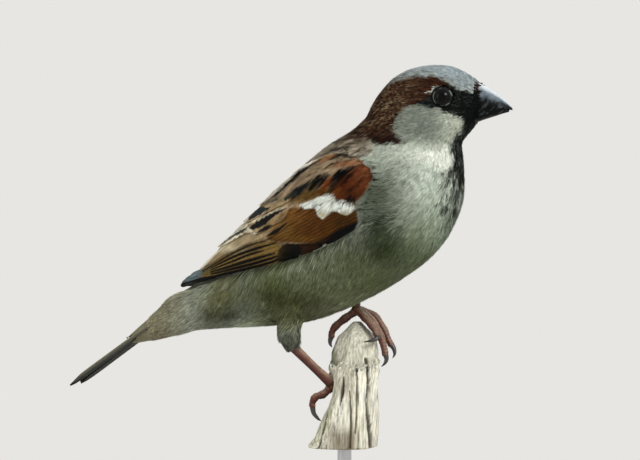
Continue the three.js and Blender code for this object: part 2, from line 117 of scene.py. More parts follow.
class Finish:  # a material with its shader, built up a node at a time
    def __init__(self, name, **constants):
        self.material = bpy.data.materials.new(name)
        self.material.use_nodes = True
        self.tree = self.material.node_tree
        self.shader = self.tree.nodes["Principled BSDF"]
        for socket, value in constants.items():
            self.shader.inputs[socketNames.get(socket, socket)].default_value = value

    def node(self, kind, settings=None, inputs=None, output=0):
        made = self.tree.nodes.new("ShaderNode" + kind)
        for key, value in (settings or {}).items():
            if key == "stops":
                self.setStops(made.color_ramp, value)
            else:
                setattr(made, key, value)
        for key, value in (inputs or {}).items():
            if isinstance(value, Wire):
                self.tree.links.new(value.socket, made.inputs[key])
            else:
                made.inputs[key].default_value = value
        return Wire(self, made.outputs[output])

    def setStops(self, ramp, stops):
        while len(ramp.elements) < len(stops):
            ramp.elements.new(0.5)
        for element, (at, colour) in zip(ramp.elements, stops):
            element.position, element.color = at, asColour(colour)

    def mix(self, share, first, second, blend="MIX"):
        values = {0: share, 6: asColour(first), 7: asColour(second)}
        return self.node("Mix", {"data_type": "RGBA", "blend_type": blend}, values, output=2)

    def noise(self, coords, scale, detail=3, rough=0.55):
        values = {"Vector": coords, "Scale": scale, "Detail": detail, "Roughness": rough}
        return self.node("TexNoise", {}, values)

    def place(self, scale=(1, 1, 1), turned=(0, 0, 0)):
        coords = self.node("TexCoord", output="Object")
        return self.node("Mapping", {}, {"Vector": coords, "Scale": scale, "Rotation": turned})

    def shaded(self, tone, shade):  # a colour made darker or lighter by a number
        grey = self.node("CombineXYZ", {}, {0: shade, 1: shade, 2: shade})
        return self.mix(1.0, tone, grey, "MULTIPLY")

    def attribute(self, name, output="Color"):
        return self.node("Attribute", {"attribute_name": name}, output=output)

    def bump(self, height, strength, distance):
        return self.node("Bump", {}, {"Height": height, "Strength": strength, "Distance": distance * mm})

    def wear(self, **sockets):
        for socket, wire in sockets.items():
            self.tree.links.new(wire.socket, self.shader.inputs[socketNames.get(socket, socket)])
        return self.material


socketNames = {"colour": "Base Color", "roughness": "Roughness", "metallic": "Metallic", "normal": "Normal",
               "coat": "Coat Weight", "coatRoughness": "Coat Roughness", "specular": "Specular IOR Level"}


def asColour(value):
    return (*value, 1) if isinstance(value, tuple) and len(value) == 3 else value


def paint(red, green, blue):  # a colour as a paint chart gives it, made linear
    parts = (v / 255 for v in (red, green, blue))
    return tuple(((v + 0.055) / 1.055) ** 2.4 if v > 10 / 255 else v / 12.92 for v in parts)


# meshes

def addObject(name, mesh, material, replaced=()):
    made = bpy.data.objects.new(name, mesh)
    bpy.context.scene.collection.objects.link(made)
    mesh.materials.clear()
    mesh.materials.append(material)
    mesh.polygons.foreach_set("use_smooth", [True] * len(mesh.polygons))
    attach(made, "root")
    if replaced:
        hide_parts(*replaced)
    return made


def meshOf(name, places, faces):  # places in mm, faces as rows of corner numbers
    mesh = bpy.data.meshes.new(name)
    mesh.vertices.add(len(places))
    setCoords(mesh, places)
    mesh.loops.add(faces.size)
    mesh.loops.foreach_set("vertex_index", faces.astype(np.int32).ravel())
    mesh.polygons.add(len(faces))
    mesh.polygons.foreach_set("loop_start", np.arange(0, faces.size, faces.shape[1], dtype=np.int32))
    mesh.update(calc_edges=True)
    return mesh


def finishBmesh(bm, name):
    bmesh.ops.recalc_face_normals(bm, faces=bm.faces)
    mesh = bpy.data.meshes.new(name)
    bm.to_mesh(mesh)
    bm.free()
    return mesh


def joinedNodes(nodes, grow=0.0):  # a merged copy of CAD nodes, in one bmesh
    bm = bmesh.new()
    for node in nodes:
        bm.from_mesh(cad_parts[node].data)
    bmesh.ops.remove_doubles(bm, verts=bm.verts, dist=1e-6)
    bm.normal_update()
    moves = [v.normal * grow * mm for v in bm.verts]
    for v, move in zip(bm.verts, moves):
        v.co += move
    return bm


def remeshed(bm, name, voxel, smoothing):
    rough = bpy.data.objects.new(name, finishBmesh(bm, name))
    bpy.context.scene.collection.objects.link(rough)
    remesh = rough.modifiers.new("remesh", "REMESH")
    remesh.mode, remesh.voxel_size = "VOXEL", voxel * mm
    even = rough.modifiers.new("even", "SMOOTH")
    even.factor, even.iterations = 0.5, smoothing
    mesh = bpy.data.meshes.new_from_object(rough.evaluated_get(bpy.context.evaluated_depsgraph_get()))
    rawMesh = rough.data
    bpy.data.objects.remove(rough)
    bpy.data.meshes.remove(rawMesh)
    mesh.name = name
    return mesh


def vertexValues(mesh, field):
    values = np.zeros(len(mesh.vertices) * 3, np.float32)
    mesh.vertices.foreach_get(field, values)
    return values.reshape(-1, 3).astype(float)


def coordsOf(mesh):
    return vertexValues(mesh, "co") / mm


def normalsOf(mesh):
    return vertexValues(mesh, "normal")


def setCoords(mesh, places):
    mesh.vertices.foreach_set("co", (places * mm).astype(np.float32).ravel())
    mesh.update()


def setColours(mesh, colours):
    layer = mesh.color_attributes.new("plumage", "FLOAT_COLOR", "POINT")
    full = np.ones((len(mesh.vertices), 4), np.float32)
    full[:, :3] = colours
    layer.data.foreach_set("color", full.ravel())


def unit(vectors):
    return vectors / np.maximum(np.linalg.norm(vectors, axis=-1, keepdims=True), 1e-9)


def smoothStep(values, low, high):
    t = np.clip((values - low) / (high - low), 0, 1)
    return t * t * (3 - 2 * t)


def blend(first, second, share):
    first, second = np.asarray(first), np.asarray(second)
    return first + (second - first) * share


def tint(rows, other, share):  # rows of colours or sizes, turned to another by each place's own share
    return blend(rows, other, share[:, None])


def onLeft(points):  # both sides folded onto the bird's left
    return points * [1, 0, 1] + np.abs(points) * [0, 1, 0]


def through(knots, t):  # a smooth curve through evenly spaced knots, t from 0 to 1
    knots = np.asarray(knots, float)
    if knots.ndim == 1:
        knots = knots[:, None]
    ends = np.vstack([2 * knots[0] - knots[1], knots, 2 * knots[-1] - knots[-2]])
    t = np.clip(np.asarray(t, float), 0, 1) * (len(knots) - 1)
    i = np.minimum(t.astype(int), len(knots) - 2)
    f = (t - i)[..., None]
    a, b, c, d = (ends[i + k] for k in range(4))
    curve = 2 * b + (c - a) * f + (2 * a - 5 * b + 4 * c - d) * f ** 2 + (3 * b - a - 3 * c + d) * f ** 3
    return 0.5 * curve


def ripple(points, size, seed):  # a smooth wandering value near -1 to 1 that changes over a size in mm
    waves = np.random.default_rng(seed)
    total = np.zeros(len(points))
    for _ in range(5):
        direction = waves.normal(size=3)
        total += np.sin(points @ direction / size * 1.9 + waves.uniform(0, 6.28))
    return total / 2.6


print("camera and light")
addCamera()
for lampName in ("key", "fill", "rim"):
    addLamp(lampName, **light[lampName])

# markings, as they lie on the right side seen from a little ahead, mirrored on the left

markings = {
    "crown": [(46, 42.4), (44.4, 41.6), (43.6, 39.8), (42.2, 39.2), (40, 40), (38, 40.6), (36.6, 41.4),
              (35, 42.6), (32.4, 43.7), (28, 43.7), (24, 43), (20, 41.5), (17, 39.5), (15, 37.5), (12, 34),
              (7, 38.5), (23, 54), (45.5, 51.5)],
    "chestnut": [(36.4, 40.8), (35, 42.6), (32.4, 43.7), (28, 43.7), (24, 43), (20, 41.5), (17, 39.5),
                 (15, 37.5), (12, 34), (7, 30), (5, 27), (10, 25.5), (17, 24), (23.6, 23.8), (24.4, 24.2),
                 (22.4, 26), (21, 28), (20.8, 30), (21.8, 32.4), (24.4, 34.6), (27, 36), (30, 37),
                 (32, 38.5)],
    "face": [(26, 36.1), (28.4, 37), (30.4, 37.6), (31.8, 38.6), (33.2, 40.9), (35.5, 41.4), (37.2, 41),
             (39.6, 40), (41.6, 39.1), (43.2, 39.1), (44.2, 40.4), (44.8, 42.2), (48.5, 41), (48.5, 32),
             (41, 30.2), (39.9, 31.2), (38.8, 32.6), (36, 33), (34, 33.5), (32, 34.1), (30, 34.7),
             (28, 35.2)],
    "bib": [(48.5, 34), (41.5, 33), (40.4, 30.2), (39.8, 29), (39, 27.6), (37.9, 26), (37.1, 24),
            (36.7, 22.4), (36.9, 21.2), (37.2, 19), (37.3, 17), (36.9, 15.2), (38.4, 12), (42.5, 8.5),
            (51.5, 8.5)],
    "cheek": [(26, 35.9), (30.5, 35.1), (33.5, 33.6), (38, 32.8), (39.8, 31.2), (40.2, 29.6), (38.6, 26.6),
              (36.4, 23.4), (34, 22.4), (30, 22.4), (26.4, 23.4), (24, 24.4), (22.4, 26), (21, 28),
              (20.8, 30), (21.8, 32.4), (24.4, 34.6)],
    "collar": [(13, 24.2), (18.5, 22.8), (24, 22.4), (30, 22.6), (36, 23.4), (37.6, 21.5), (37.4, 17.5),
               (35, 16.4), (31, 18.6), (27, 19.4), (22, 20.2), (16, 21.4)],
    "shoulder": [(-8, 16), (-2, 21), (2, 25), (7, 28.6), (11.5, 26.6), (14, 24.6), (14.2, 22), (12, 20.4),
                 (8, 20), (2, 19)],
}
hues = {
    "crown": paint(160, 170, 170), "crownBack": paint(98, 90, 76), "rust": paint(56, 32, 20),
    "rustBright": paint(90, 54, 34), "rustDark": paint(15, 10, 8), "rustTip": paint(140, 122, 94),
    "black": paint(15, 17, 16), "blackSheen": paint(104, 112, 102), "faceSheen": paint(62, 70, 64),
    "crownLitFront": paint(174, 190, 198), "cheek": paint(126, 133, 121), "cheekPaleAndLit": paint(176, 182, 166),
    "white": paint(234, 238, 224), "spot": paint(24, 25, 22), "thigh": paint(68, 70, 52),
    "knee": paint(98, 101, 88), "scapular": paint(172, 160, 138), "scapularStreak": paint(64, 60, 52),
    "breast": paint(180, 188, 173), "nape": paint(116, 100, 78), "mantle": paint(136, 120, 94),
    "mantleStreak": paint(36, 34, 30), "rump": paint(126, 124, 98), "underTail": paint(140, 134, 106),
    "brow": paint(190, 194, 184),
}
# broad soft changes of tone over the underparts, partly the plumage's own and partly painted shade under the
# wing and along the flank and painted light on the upper breast: middle, reach each way, hue and strength
toneAndShadeWashes = [
    ((28, 13), (5, 5), paint(196, 206, 192), 0.6),
    ((36, -2), (9, 10), paint(160, 174, 158), 0.7),
    ((26, -4), (12, 10), paint(118, 130, 102), 0.85),
    ((16, 11), (7, 8), paint(84, 92, 74), 0.95),
    ((28, -10), (10, 6), paint(84, 94, 60), 0.7),
    ((8, -9), (12, 8), paint(84, 90, 64), 0.85),
    ((14, -15), (12, 6), paint(86, 95, 50), 0.85),
    ((0, -12), (12, 7), paint(90, 96, 70), 0.85),
    ((-14, -17), (8, 7), paint(76, 84, 52), 0.93),
    ((-7, -20.8), (15, 5.4), paint(48, 50, 24), 0.93),
    ((-9, -26), (8, 3.4), paint(58, 58, 32), 0.95),
    ((15.4, 0.5), (6, 8.5), paint(30, 38, 18), 0.97),
    ((18.5, -6), (7, 5), paint(36, 44, 16), 0.88),
    ((-26, -18), (9, 7), paint(82, 86, 58), 0.9),
    ((-32, -24), (5, 4), paint(84, 84, 52), 0.8),
    ((-26.5, -24.2), (5, 2.4), paint(30, 30, 10), 0.9),
    ((-29, -19.6), (4, 2.6), paint(122, 120, 78), 0.7),
    ((-21.4, -27.2), (3.8, 1.9), paint(190, 206, 178), 0.9),
]
shoulderStrokes = [  # path, widths and hue, as for the wing
    ([(-4.5, 18.8), (-1, 21.6), (3, 23.6), (8, 25.2)], (0.5, 1.0, 1.2, 0.5), paint(34, 34, 30)),
    ([(-2.5, 21.8), (2, 25.0), (6, 26.6)], (0.7, 1.2, 0.6), paint(206, 196, 174)),
    ([(1.5, 20.6), (5, 22.2), (9.5, 22.8)], (0.5, 1.4, 0.6), paint(26, 24, 18)),
    ([(8.5, 25.0), (11.8, 24.4)], (0.5, 1.5, 0.5), paint(40, 44, 40)),
    ([(9.6, 21.6), (13.2, 21.4)], (0.4, 1.2, 0.4), paint(52, 40, 30)),
]
breastSpots = [(37.0, 12.3), (38.5, 10.0), (39.6, 8.3), (35.4, 6.6), (36.8, 3.1), (35.4, -2.9),
               (34.6, 15.4), (33.4, 6.9), (38.0, 6.0), (36.2, 9.0), (34.6, 11.6), (38.6, 1.0), (37.4, -1.6),
               (35.0, 1.0), (38.9, 14.0), (36.0, 14.0), (36.6, 16.0), (37.6, 8.0), (38.6, 11.6),
               (37.6, 4.4), (39.2, 4.0), (34.2, 4.4), (36.9, 10.4), (36.6, -0.4)]


def viewPlace(points):  # how far right and up each place is seen, in mm at the bird's middle
    away = points - np.array(view["target"])
    scale = view["away"] / (view["away"] - away @ viewBack)
    return (away @ viewRight) * scale, (away @ viewUp) * scale


def sidePlace(points):  # the same with the left side mirrored onto the right
    near = points.copy()
    near[:, 1] = -np.abs(near[:, 1])
    return viewPlace(near)


def depthInside(p, q, outline):  # how far inside an outline each place is, negative outside
    best = np.full(len(p), 1e9)
    crossings = np.zeros(len(p), int)
    for (ax, ay), (bx, by) in zip(outline, outline[1:] + outline[:1]):
        ex, ey = bx - ax, by - ay
        t = np.clip(((p - ax) * ex + (q - ay) * ey) / (ex * ex + ey * ey), 0, 1)
        best = np.minimum(best, np.hypot(p - ax - ex * t, q - ay - ey * t))
        spans = (ay > q) != (by > q)
        if by != ay:
            crossings += spans & (p < ax + ex * (q - ay) / (by - ay))
    return np.where(crossings % 2 == 1, best, -best)


def strokeDepth(p, q, path, widths):  # how far inside a tapering stroke each place is
    t = np.linspace(0, 1, 5 * len(path))
    line, half = through(path, t), through(widths, t)[:, 0] / 2
    middle, reach = (line.max(0) + line.min(0)) / 2, np.ptp(line, axis=0) / 2 + 2
    near = np.flatnonzero((np.abs(p - middle[0]) < reach[0]) & (np.abs(q - middle[1]) < reach[1]))
    best = np.full(len(near), -9.0)
    for k in range(len(line) - 1):
        away = np.stack([p[near] - line[k, 0], q[near] - line[k, 1]], 1)
        step = line[k + 1] - line[k]
        f = np.clip(away @ step / (step @ step), 0, 1)
        far = np.linalg.norm(away - f[:, None] * step, axis=1)
        best = np.maximum(best, blend(half[k], half[k + 1], f) - far)
    depth = np.full(len(p), -9.0)
    depth[near] = best
    return depth


def glow(p, q, middle, reach):  # 1 at the middle, fading out over the reach each way
    return np.exp(-((p - middle[0]) / reach[0]) ** 2 - ((q - middle[1]) / reach[1]) ** 2)


def plumage(points):  # the colour of the plumage at each place, with painted shade and light worked in
    p, q = sidePlace(points)
    x, y, z = points.T
    wander = 0.45 * ripple(points, 1.1, 11)
    drift = 0.45 * ripple(points, 1.3, 12)
    hue = {name: np.array(value) for name, value in hues.items()}

    def mask(name, soft=0.4):
        return smoothStep(depthInside(p + wander, q + drift, markings[name]), -soft, soft)[:, None]

    def share(values, low, high):
        return smoothStep(values, low, high)[:, None]

    speckle = ripple(points, 0.55, 13)[:, None]
    patch = ripple(points, 3.0, 14)[:, None]
    colour = np.tile(hue["breast"], (len(points), 1))
    # the washes, with their painted shade and light
    for middle, reach, tone, strength in toneAndShadeWashes:
        colour = tint(colour, tone, glow(p + wander, q + drift, middle, reach) * strength)
    colour = blend(colour, hue["rump"], share(p - 0.4 * q, -24, -34) * 0.7)
    colour = blend(colour, hue["underTail"], share(p, -36, -48) * 0.8)
    # less blue low on the body: partly the plumage's olive, partly a painted tint of greenish bounce light
    oliveAndBounce = share(q + 0.3 * p, -12, -18) * share(p, -24, -12)
    colour = colour * (1 - oliveAndBounce * np.array([0, 0, 0.22]))
    legs = share(z, 72.5, 69.5) * share(p, -30, -24)
    knee = blend(hue["thigh"], hue["knee"], share(q, -27, -31))
    colour = blend(colour, knee, legs)

    # the back between the wings, streaked
    overBack = np.where(x < 14, z - (108 + 1.02 * (x + 14)), -9)
    onBack = smoothStep(overBack, -1.5, 1.5) * smoothStep(z, 96, 101)
    stripes = smoothStep(np.abs(np.sin(np.abs(y) * 1.15 + 0.35 * ripple(points, 4, 15))), 0.35, 0.75)
    back = tint(hue["mantle"], hue["mantleStreak"], stripes * 0.75)
    colour = tint(colour, back, onBack)
    colour = colour * (1 + 0.07 * patch + 0.05 * speckle)

    bands = np.sin((q - 0.75 * p) * 2.3 + 1.2 * ripple(points, 2.4, 36))
    stripe = share(bands + 0.5 * speckle[:, 0], 0.1, 0.7)
    shoulder = blend(hue["scapular"], hue["scapularStreak"], stripe * 0.6)
    colour = blend(colour, shoulder, mask("shoulder", 1.3))
    for path, widths, tone in shoulderStrokes:
        depth = strokeDepth(p + 0.3 * wander, q + 0.3 * drift, path, widths)
        colour = blend(colour, tone, share(depth, -0.2, 0.2) * 0.9)
    colour = blend(colour, hue["white"], mask("collar", 2.0) * 0.85 * share(p, 17, 33))
    nape = share(z, 122, 127) * share(x, 17, 11)
    colour = blend(colour, blend(hue["nape"], hue["rust"], 0.5 + 0.4 * speckle), nape)
    # the cheek paler towards the front, a painted highlight on the side facing the light, and paler lower
    # down
    paler = np.maximum(share(p, 30, 37), share(q + 0.3 * wander, 27.5, 22.5))
    cheek = blend(hue["cheek"], hue["cheekPaleAndLit"], paler)
    low = share(q + 0.6 * drift + 0.3 * wander, 23.4, 21.4) * share(p, 26, 33)
    cheek = blend(cheek, hue["white"], low * 0.7)
    colour = blend(colour, cheek * (1 + 0.18 * speckle), mask("cheek", 0.8))
    rust = blend(hue["rust"], hue["rustBright"], share(ripple(points, 0.55, 19), 0.2, 0.9) * 0.7)
    dark = np.maximum(share(q, 28.5, 24.5) * 0.8, share(ripple(points, 0.5, 20), 0.0, 0.45) * 0.9)
    rust = blend(rust, hue["rustDark"], dark)
    tips = share(ripple(points, 0.42, 16), 0.15, 0.75) * share(p, 31, 20) * share(q, 25, 31)
    colour = blend(colour, blend(rust, hue["rustTip"], tips * 0.75), mask("chestnut"))
    grain = 1 + 0.07 * speckle + 0.15 * ripple(points, 0.32, 34)[:, None]
    # the crown lighter towards its top and pale bluish at the front-top: painted light from above and ahead
    crown = hue["crown"] * grain * (0.86 + 0.14 * share(q, 38, 46))
    crown = blend(crown, hue["crownLitFront"], share(p, 28, 38) * share(q, 42, 47) * 0.6)
    crown = crown * (1 - 0.4 * share(ripple(points, 0.3, 38), 0.5, 0.9))
    crown = blend(crown, hue["crownBack"], 0.75 * share(p - 0.5 * (q - 44), 29, 17))
    border = share(depthInside(p, q, markings["crown"]), 2.6, 0.2) * share(p, 40, 37)
    crown = blend(crown, hue["rust"], share(ripple(points, 0.6, 22), 0.35, 0.8) * border * 0.8)
    colour = blend(colour, crown, mask("crown"))
    face = blend(hue["black"], hue["faceSheen"], share(ripple(points, 0.4, 37), 0.45, 0.85) * 0.6)
    colour = blend(colour, face, mask("face", 0.35))
    p = p - 2.8 * smoothStep(y, 0.8, 1.8) * smoothStep(q, 21.5, 19)
    sheen = share(ripple(points, 0.42, 17), 0.3, 0.6) * 0.7 * share(q, 31, 26)
    bib = blend(hue["black"], hue["blackSheen"], sheen)
    colour = blend(colour, bib, mask("bib", 0.5))
    for centre in breastSpots:
        near = np.hypot((p + wander - centre[0]) * 1.2, (q + drift - centre[1]) * 0.75)
        colour = blend(colour, hue["spot"], share(near, 1.15, 0.6) * 0.92)
    under = share(y ** 2, 40, 10) * share(x, 28, 32) * share(q, -4, 6) * share(q, 20, 16)
    colour = blend(colour, hue["spot"], under * share(ripple(points, 1.1, 18), 0.3, 0.7) * 0.9)
    brow = strokeDepth(p + 0.4 * wander, q, [(29.8, 39.1), (31.3, 39.6), (33.2, 41.0)], (0.4, 1.4, 0.5))
    colour = blend(colour, hue["brow"], share(brow, -0.15, 0.2) * 0.9)
    return np.clip(colour, 0.002, 0.9)


print("markings")

# skin

skin = {
    "nodes": ["trunk", "neck", "head", "thigh_right", "thigh_left"],
    "voxel": 0.75,
    "closing": 0.3,  # grown by this so that the thin cuts close
    "smoothing": 10,
    "depth": 1.5,
    "shade": 0.82,
}
headMiddle = np.array([27.0, 0, 133.5])
billBase = np.array([40.5, 0, 136.5])
eyeAt = np.array([32.5, 7.25, 137.6])


def coatDepth(points):  # how deep the coat is at each place
    x, z = points[:, 0], points[:, 2]
    depth = np.full(len(points), skin["depth"])
    onHead = smoothStep(np.linalg.norm(points - headMiddle, axis=1), 22, 13)
    depth = blend(depth, 0.8, onHead)
    nearBill = smoothStep(np.linalg.norm(points - billBase, axis=1), 10, 4)
    depth = blend(depth, 0.35, nearBill)
    nearEye = smoothStep(np.linalg.norm(onLeft(points) - eyeAt, axis=1), 6.5, 3.4)
    depth = blend(depth, 0.45, nearEye)
    depth = blend(depth, 0.25, smoothStep(x, -42, -52))
    low = smoothStep(z, 71.5, 68) * smoothStep(x, -20, -17)
    return blend(depth, 0.7, low)


def makeSkin():
    mesh = remeshed(joinedNodes(skin["nodes"], skin["closing"]), "skin", skin["voxel"], skin["smoothing"])
    places = coordsOf(mesh)
    places -= normalsOf(mesh) * (coatDepth(places) + skin["closing"])[:, None]
    setCoords(mesh, places)
    return mesh


def treeOf(mesh):
    places = coordsOf(mesh)
    return BVHTree.FromPolygons([Vector(p) for p in places], [list(f.vertices) for f in mesh.polygons])


print("skin")
skinMesh = makeSkin()
skinTree = treeOf(skinMesh)

spine = [(-66, 67), (-50, 75), (-31, 85), (-11, 98), (4, 110), (15, 124), (26, 134), (43, 137)]


def unwrapped(points):  # along the spine and round it, as the skin's own unwrap
    steps = np.linspace(0, 1, 160)
    line = through(spine, steps)
    flat = points[:, [0, 2]]
    nearest = np.argmin(((flat[:, None] - line[None]) ** 2).sum(2), axis=1)
    along = steps[nearest]
    ahead = unit(line[np.minimum(nearest + 1, 159)] - line[np.maximum(nearest - 1, 0)])
    away = flat - line[nearest]
    high = away[:, 1] * ahead[:, 0] - away[:, 0] * ahead[:, 1]
    around = np.arctan2(points[:, 1], high) / (2 * math.pi) + 0.5
    return 0.01 + 0.98 * np.stack([along, around], 1)


def addUv(mesh, perVertex):
    layer = mesh.uv_layers.new(name="OFBake")
    corners = np.zeros(len(mesh.loops), np.int32)
    mesh.loops.foreach_get("vertex_index", corners)
    layer.uv.foreach_set("vector", perVertex[corners].astype(np.float32).ravel())


featherFinish = {"specular": 0.04, "grain": 900, "headGrain": 1500, "fine": 0.16, "coarse": 0.12}


def featherMaterial(name, grain):
    finish = Finish(name, roughness=0.8, specular=featherFinish["specular"])
    colour = finish.attribute("plumage")
    fine = finish.noise(finish.place(), grain, 4)
    coarse = finish.noise(finish.place(), 140, 2)
    shade = 1 + (fine - 0.5) * featherFinish["fine"] + (coarse - 0.5) * featherFinish["coarse"]
    tinted = finish.shaded(colour, shade)
    return finish.wear(colour=tinted, roughness=0.62 + fine * 0.2)


headCoat = featherMaterial("headPlumage", featherFinish["headGrain"])
bodyCoat = featherMaterial("bodyPlumage", featherFinish["grain"])
wingCoat = featherMaterial("wingPlumage", featherFinish["grain"])
setColours(skinMesh, plumage(coordsOf(skinMesh)) * skin["shade"])
addUv(skinMesh, unwrapped(coordsOf(skinMesh)))
addObject("skin", skinMesh, bodyCoat, skin["nodes"])

# soft feathers: a shaft's worth of barbs that fan out and lie along the coat


def scatter(mesh, spacing, seed):  # places spread over a mesh, about one to each cell of the spacing
    draw = np.random.default_rng(seed)
    mesh.calc_loop_triangles()
    corners = np.zeros(len(mesh.loop_triangles) * 3, np.int32)
    mesh.loop_triangles.foreach_get("vertices", corners)
    a, b, c = (coordsOf(mesh)[corners.reshape(-1, 3)[:, k]] for k in range(3))
    areas = np.linalg.norm(np.cross(b - a, c - a), axis=1) / 2
    count = int(areas.sum() / spacing ** 2 * 2.2)
    chosen = draw.choice(len(a), count, p=areas / areas.sum())
    u, v = draw.random((2, count, 1))
    over = u + v > 1
    u, v = np.where(over, 1 - u, u), np.where(over, 1 - v, v)
    places = a[chosen] + (b[chosen] - a[chosen]) * u + (c[chosen] - a[chosen]) * v
    cells = np.floor(places / spacing).astype(int)
    _, first = np.unique(cells, axis=0, return_index=True)
    return places[np.sort(first)]


def nearestOn(tree, points):
    places, normals = np.zeros_like(points), np.zeros_like(points)
    for i, point in enumerate(points):
        place, normal, _, _ = tree.find_nearest(point)
        places[i], normals[i] = place, normal
    return places, normals


def lay(tree, roots, flow, lengths, steps):  # shaft lines that follow the surface along the flow
    places, normals = nearestOn(tree, roots)
    line, facing = [places], [normals]
    for _ in range(steps):
        ahead = flow(line[-1])
        ahead = unit(ahead - (ahead * facing[-1]).sum(1, keepdims=True) * facing[-1])
        moved = line[-1] + ahead * (lengths / steps)[:, None]
        places, normals = nearestOn(tree, moved)
        line.append(places)
        facing.append(unit(normals + facing[-1] * 0.5))
    return np.stack(line, 1), np.stack(facing, 1)


barb = {"leaves": 0.74, "rounding": 0.32, "camber": 0.12, "spread": 0.45, "thick": 0.95, "stray": 0.05,
        "lifted": 0.04}


def fanFeathers(line, facing, width, lift, barbs, ragged, draw):
    # barbs leave the shaft along its length and end round the vane's edge
    count, steps = line.shape[0], line.shape[1] - 1
    rows = np.array([0.0, 0.5, 1.0])
    across = np.linspace(-1, 1, barbs) + draw.normal(0, barb["stray"], (count, barbs))
    end = 1 - barb["rounding"] * across ** 2 - draw.uniform(0, ragged, (count, barbs))
    start = np.maximum(end - barb["leaves"] + 0.1 * np.abs(across), 0)
    along = start[..., None] + (end - start)[..., None] * rows
    aside = across[..., None] * width[:, None, None] / 2 * rows ** 0.75
    seat = np.clip(along, 0, 0.9999) * steps
    i = seat.astype(int)
    f = (seat - i)[..., None]
    who = np.arange(count)[:, None, None]
    at = line[who, i] * (1 - f) + line[who, i + 1] * f
    up = unit(facing[who, i] * (1 - f) + facing[who, i + 1] * f)
    ahead = unit(line[who, i + 1] - line[who, i])
    beside = unit(np.cross(up, ahead))
    dome = barb["camber"] * (aside / np.maximum(width[:, None, None], 1e-6)) ** 2 * width[:, None, None]
    rise = lift[:, None, None] * (0.15 + 0.85 * along ** 1.3) - dome
    rise = rise + draw.normal(0, barb["lifted"], (count, barbs, 1)) * rows
    centre = at + beside * aside[..., None] + up * rise[..., None]
    heading = unit(ahead + beside * (across[..., None, None] * barb["spread"]))
    edge = unit(np.cross(up, heading))
    half = (width[:, None] / barbs * barb["thick"])[..., None] * np.array([0.6, 1.0, 0.0])
    left, right = centre - edge * half[..., None], centre + edge * half[..., None]
    verts = np.stack([left[:, :, 0], right[:, :, 0], left[:, :, 1], right[:, :, 1], centre[:, :, 2]], 2)
    return verts, along


stripFaces = np.array([(0, 1, 3), (0, 3, 2), (2, 3, 4)])


def stripMesh(name, verts):  # verts: feather, barb, five corners
    places = verts.reshape(-1, 3)
    faces = np.arange(len(places) // 5)[:, None, None] * 5 + stripFaces
    return meshOf(name, places, faces.reshape(-1, 3))


def stripShade(root, middle, tip):  # tones along a barb, by its five corners
    return np.array([root, root, middle, middle, tip])[None, None, :, None]


def rootPatches(roots, barbs, verts, along):  # each feather's small square of the skin's unwrap
    base = unwrapped(roots)[:, None, None, :]
    column = np.linspace(0, 1, barbs)[None, :, None]
    u = np.broadcast_to(column, verts.shape[:3])
    v = np.stack([along[..., 0], along[..., 0], along[..., 1], along[..., 1], along[..., 2]], -1)
    patch = np.stack([u, v], -1) * 0.003 - 0.0015
    return (base + patch).reshape(-1, 2)


def bodyHue(line, verts, draw):
    tips = line[:, -1] * 0.6 + line[:, 2] * 0.4
    past = line[:, -1] + (line[:, -1] - line[:, 2]) * 0.4
    near = plumage(np.concatenate([tips, past, line[:, 2]])).reshape(3, len(tips), 3)
    pick = draw.integers(0, 3, verts.shape[:2])
    base = near[pick, np.arange(len(tips))[:, None]][:, :, None, :]
    p, q = sidePlace(line[:, 0])
    onFlank = smoothStep(p + q * 0.4, 26, 12) * smoothStep(q, 20, 8)
    streak = 1 + draw.normal(0, 1, verts.shape[:2]) * (0.18 + 0.14 * onFlank)[:, None]
    shade = base * streak[..., None, None] * stripShade(0.80, 0.97, 1.08)
    return np.clip(shade * draw.normal(1, 0.12, (len(line), 1, 1, 1)), 0.001, 0.95)


def coatPiece(name, tree, roots, flow, size, material, seed, hue=bodyHue):
    # size gives each root's length, width and lift; hue gives the barbs' colours
    draw = np.random.default_rng(seed)
    length, width, lift = size(roots)
    length = length * draw.uniform(0.85, 1.15, len(roots))
    line, facing = lay(tree, roots, flow, length, 3)
    verts, along = fanFeathers(line, facing, width, lift, size.barbs, size.ragged, draw)
    mesh = stripMesh(name, verts)
    setColours(mesh, hue(line, verts, draw).reshape(-1, 3))
    addUv(mesh, rootPatches(line[:, 0], size.barbs, verts, along))
    return addObject(name, mesh, material)


class Size:  # a feather's length, width and lift over the body
    def __init__(self, barbs, ragged, rule):
        self.barbs, self.ragged, self.rule = barbs, ragged, rule

    def __call__(self, points):
        return self.rule(points)


bodyAxis = unit(np.array([-0.80, 0.0, -0.60]))
tailAxis = unit(np.array([-0.82, 0.0, -0.57]))


def bodyFlow(points):  # the way the feathers lie
    x, y, z = points.T
    away = unit(points - billBase)
    far = smoothStep(np.linalg.norm(points - billBase, axis=1), 20, 46)[:, None]
    axis = np.tile(bodyAxis, (len(points), 1))
    side = smoothStep(np.abs(y), 7, 14) * smoothStep(z, 108, 96) * smoothStep(x, -45, -25)
    axis = unit(axis + side[:, None] * np.array([0.15, 0, -0.75]))
    breastSide = smoothStep(np.abs(y), 9, 14) * smoothStep(z, 98, 106) * smoothStep(x, 30, 22)
    axis = unit(axis + breastSide[:, None] * np.array([-0.6, 0, 0.35]))
    sway = 0.12 * np.stack([ripple(points, 5, 21), ripple(points, 5, 22), ripple(points, 5, 23)], 1)
    legs = smoothStep(z, 72, 69) * smoothStep(x, -20, -16)
    flow = blend(away, axis, far) + sway
    flow = blend(flow, np.tile(tailAxis, (len(points), 1)), smoothStep(x, -44, -54)[:, None])
    return blend(flow, np.tile([0.25, 0.0, -1.0], (len(points), 1)), legs[:, None])


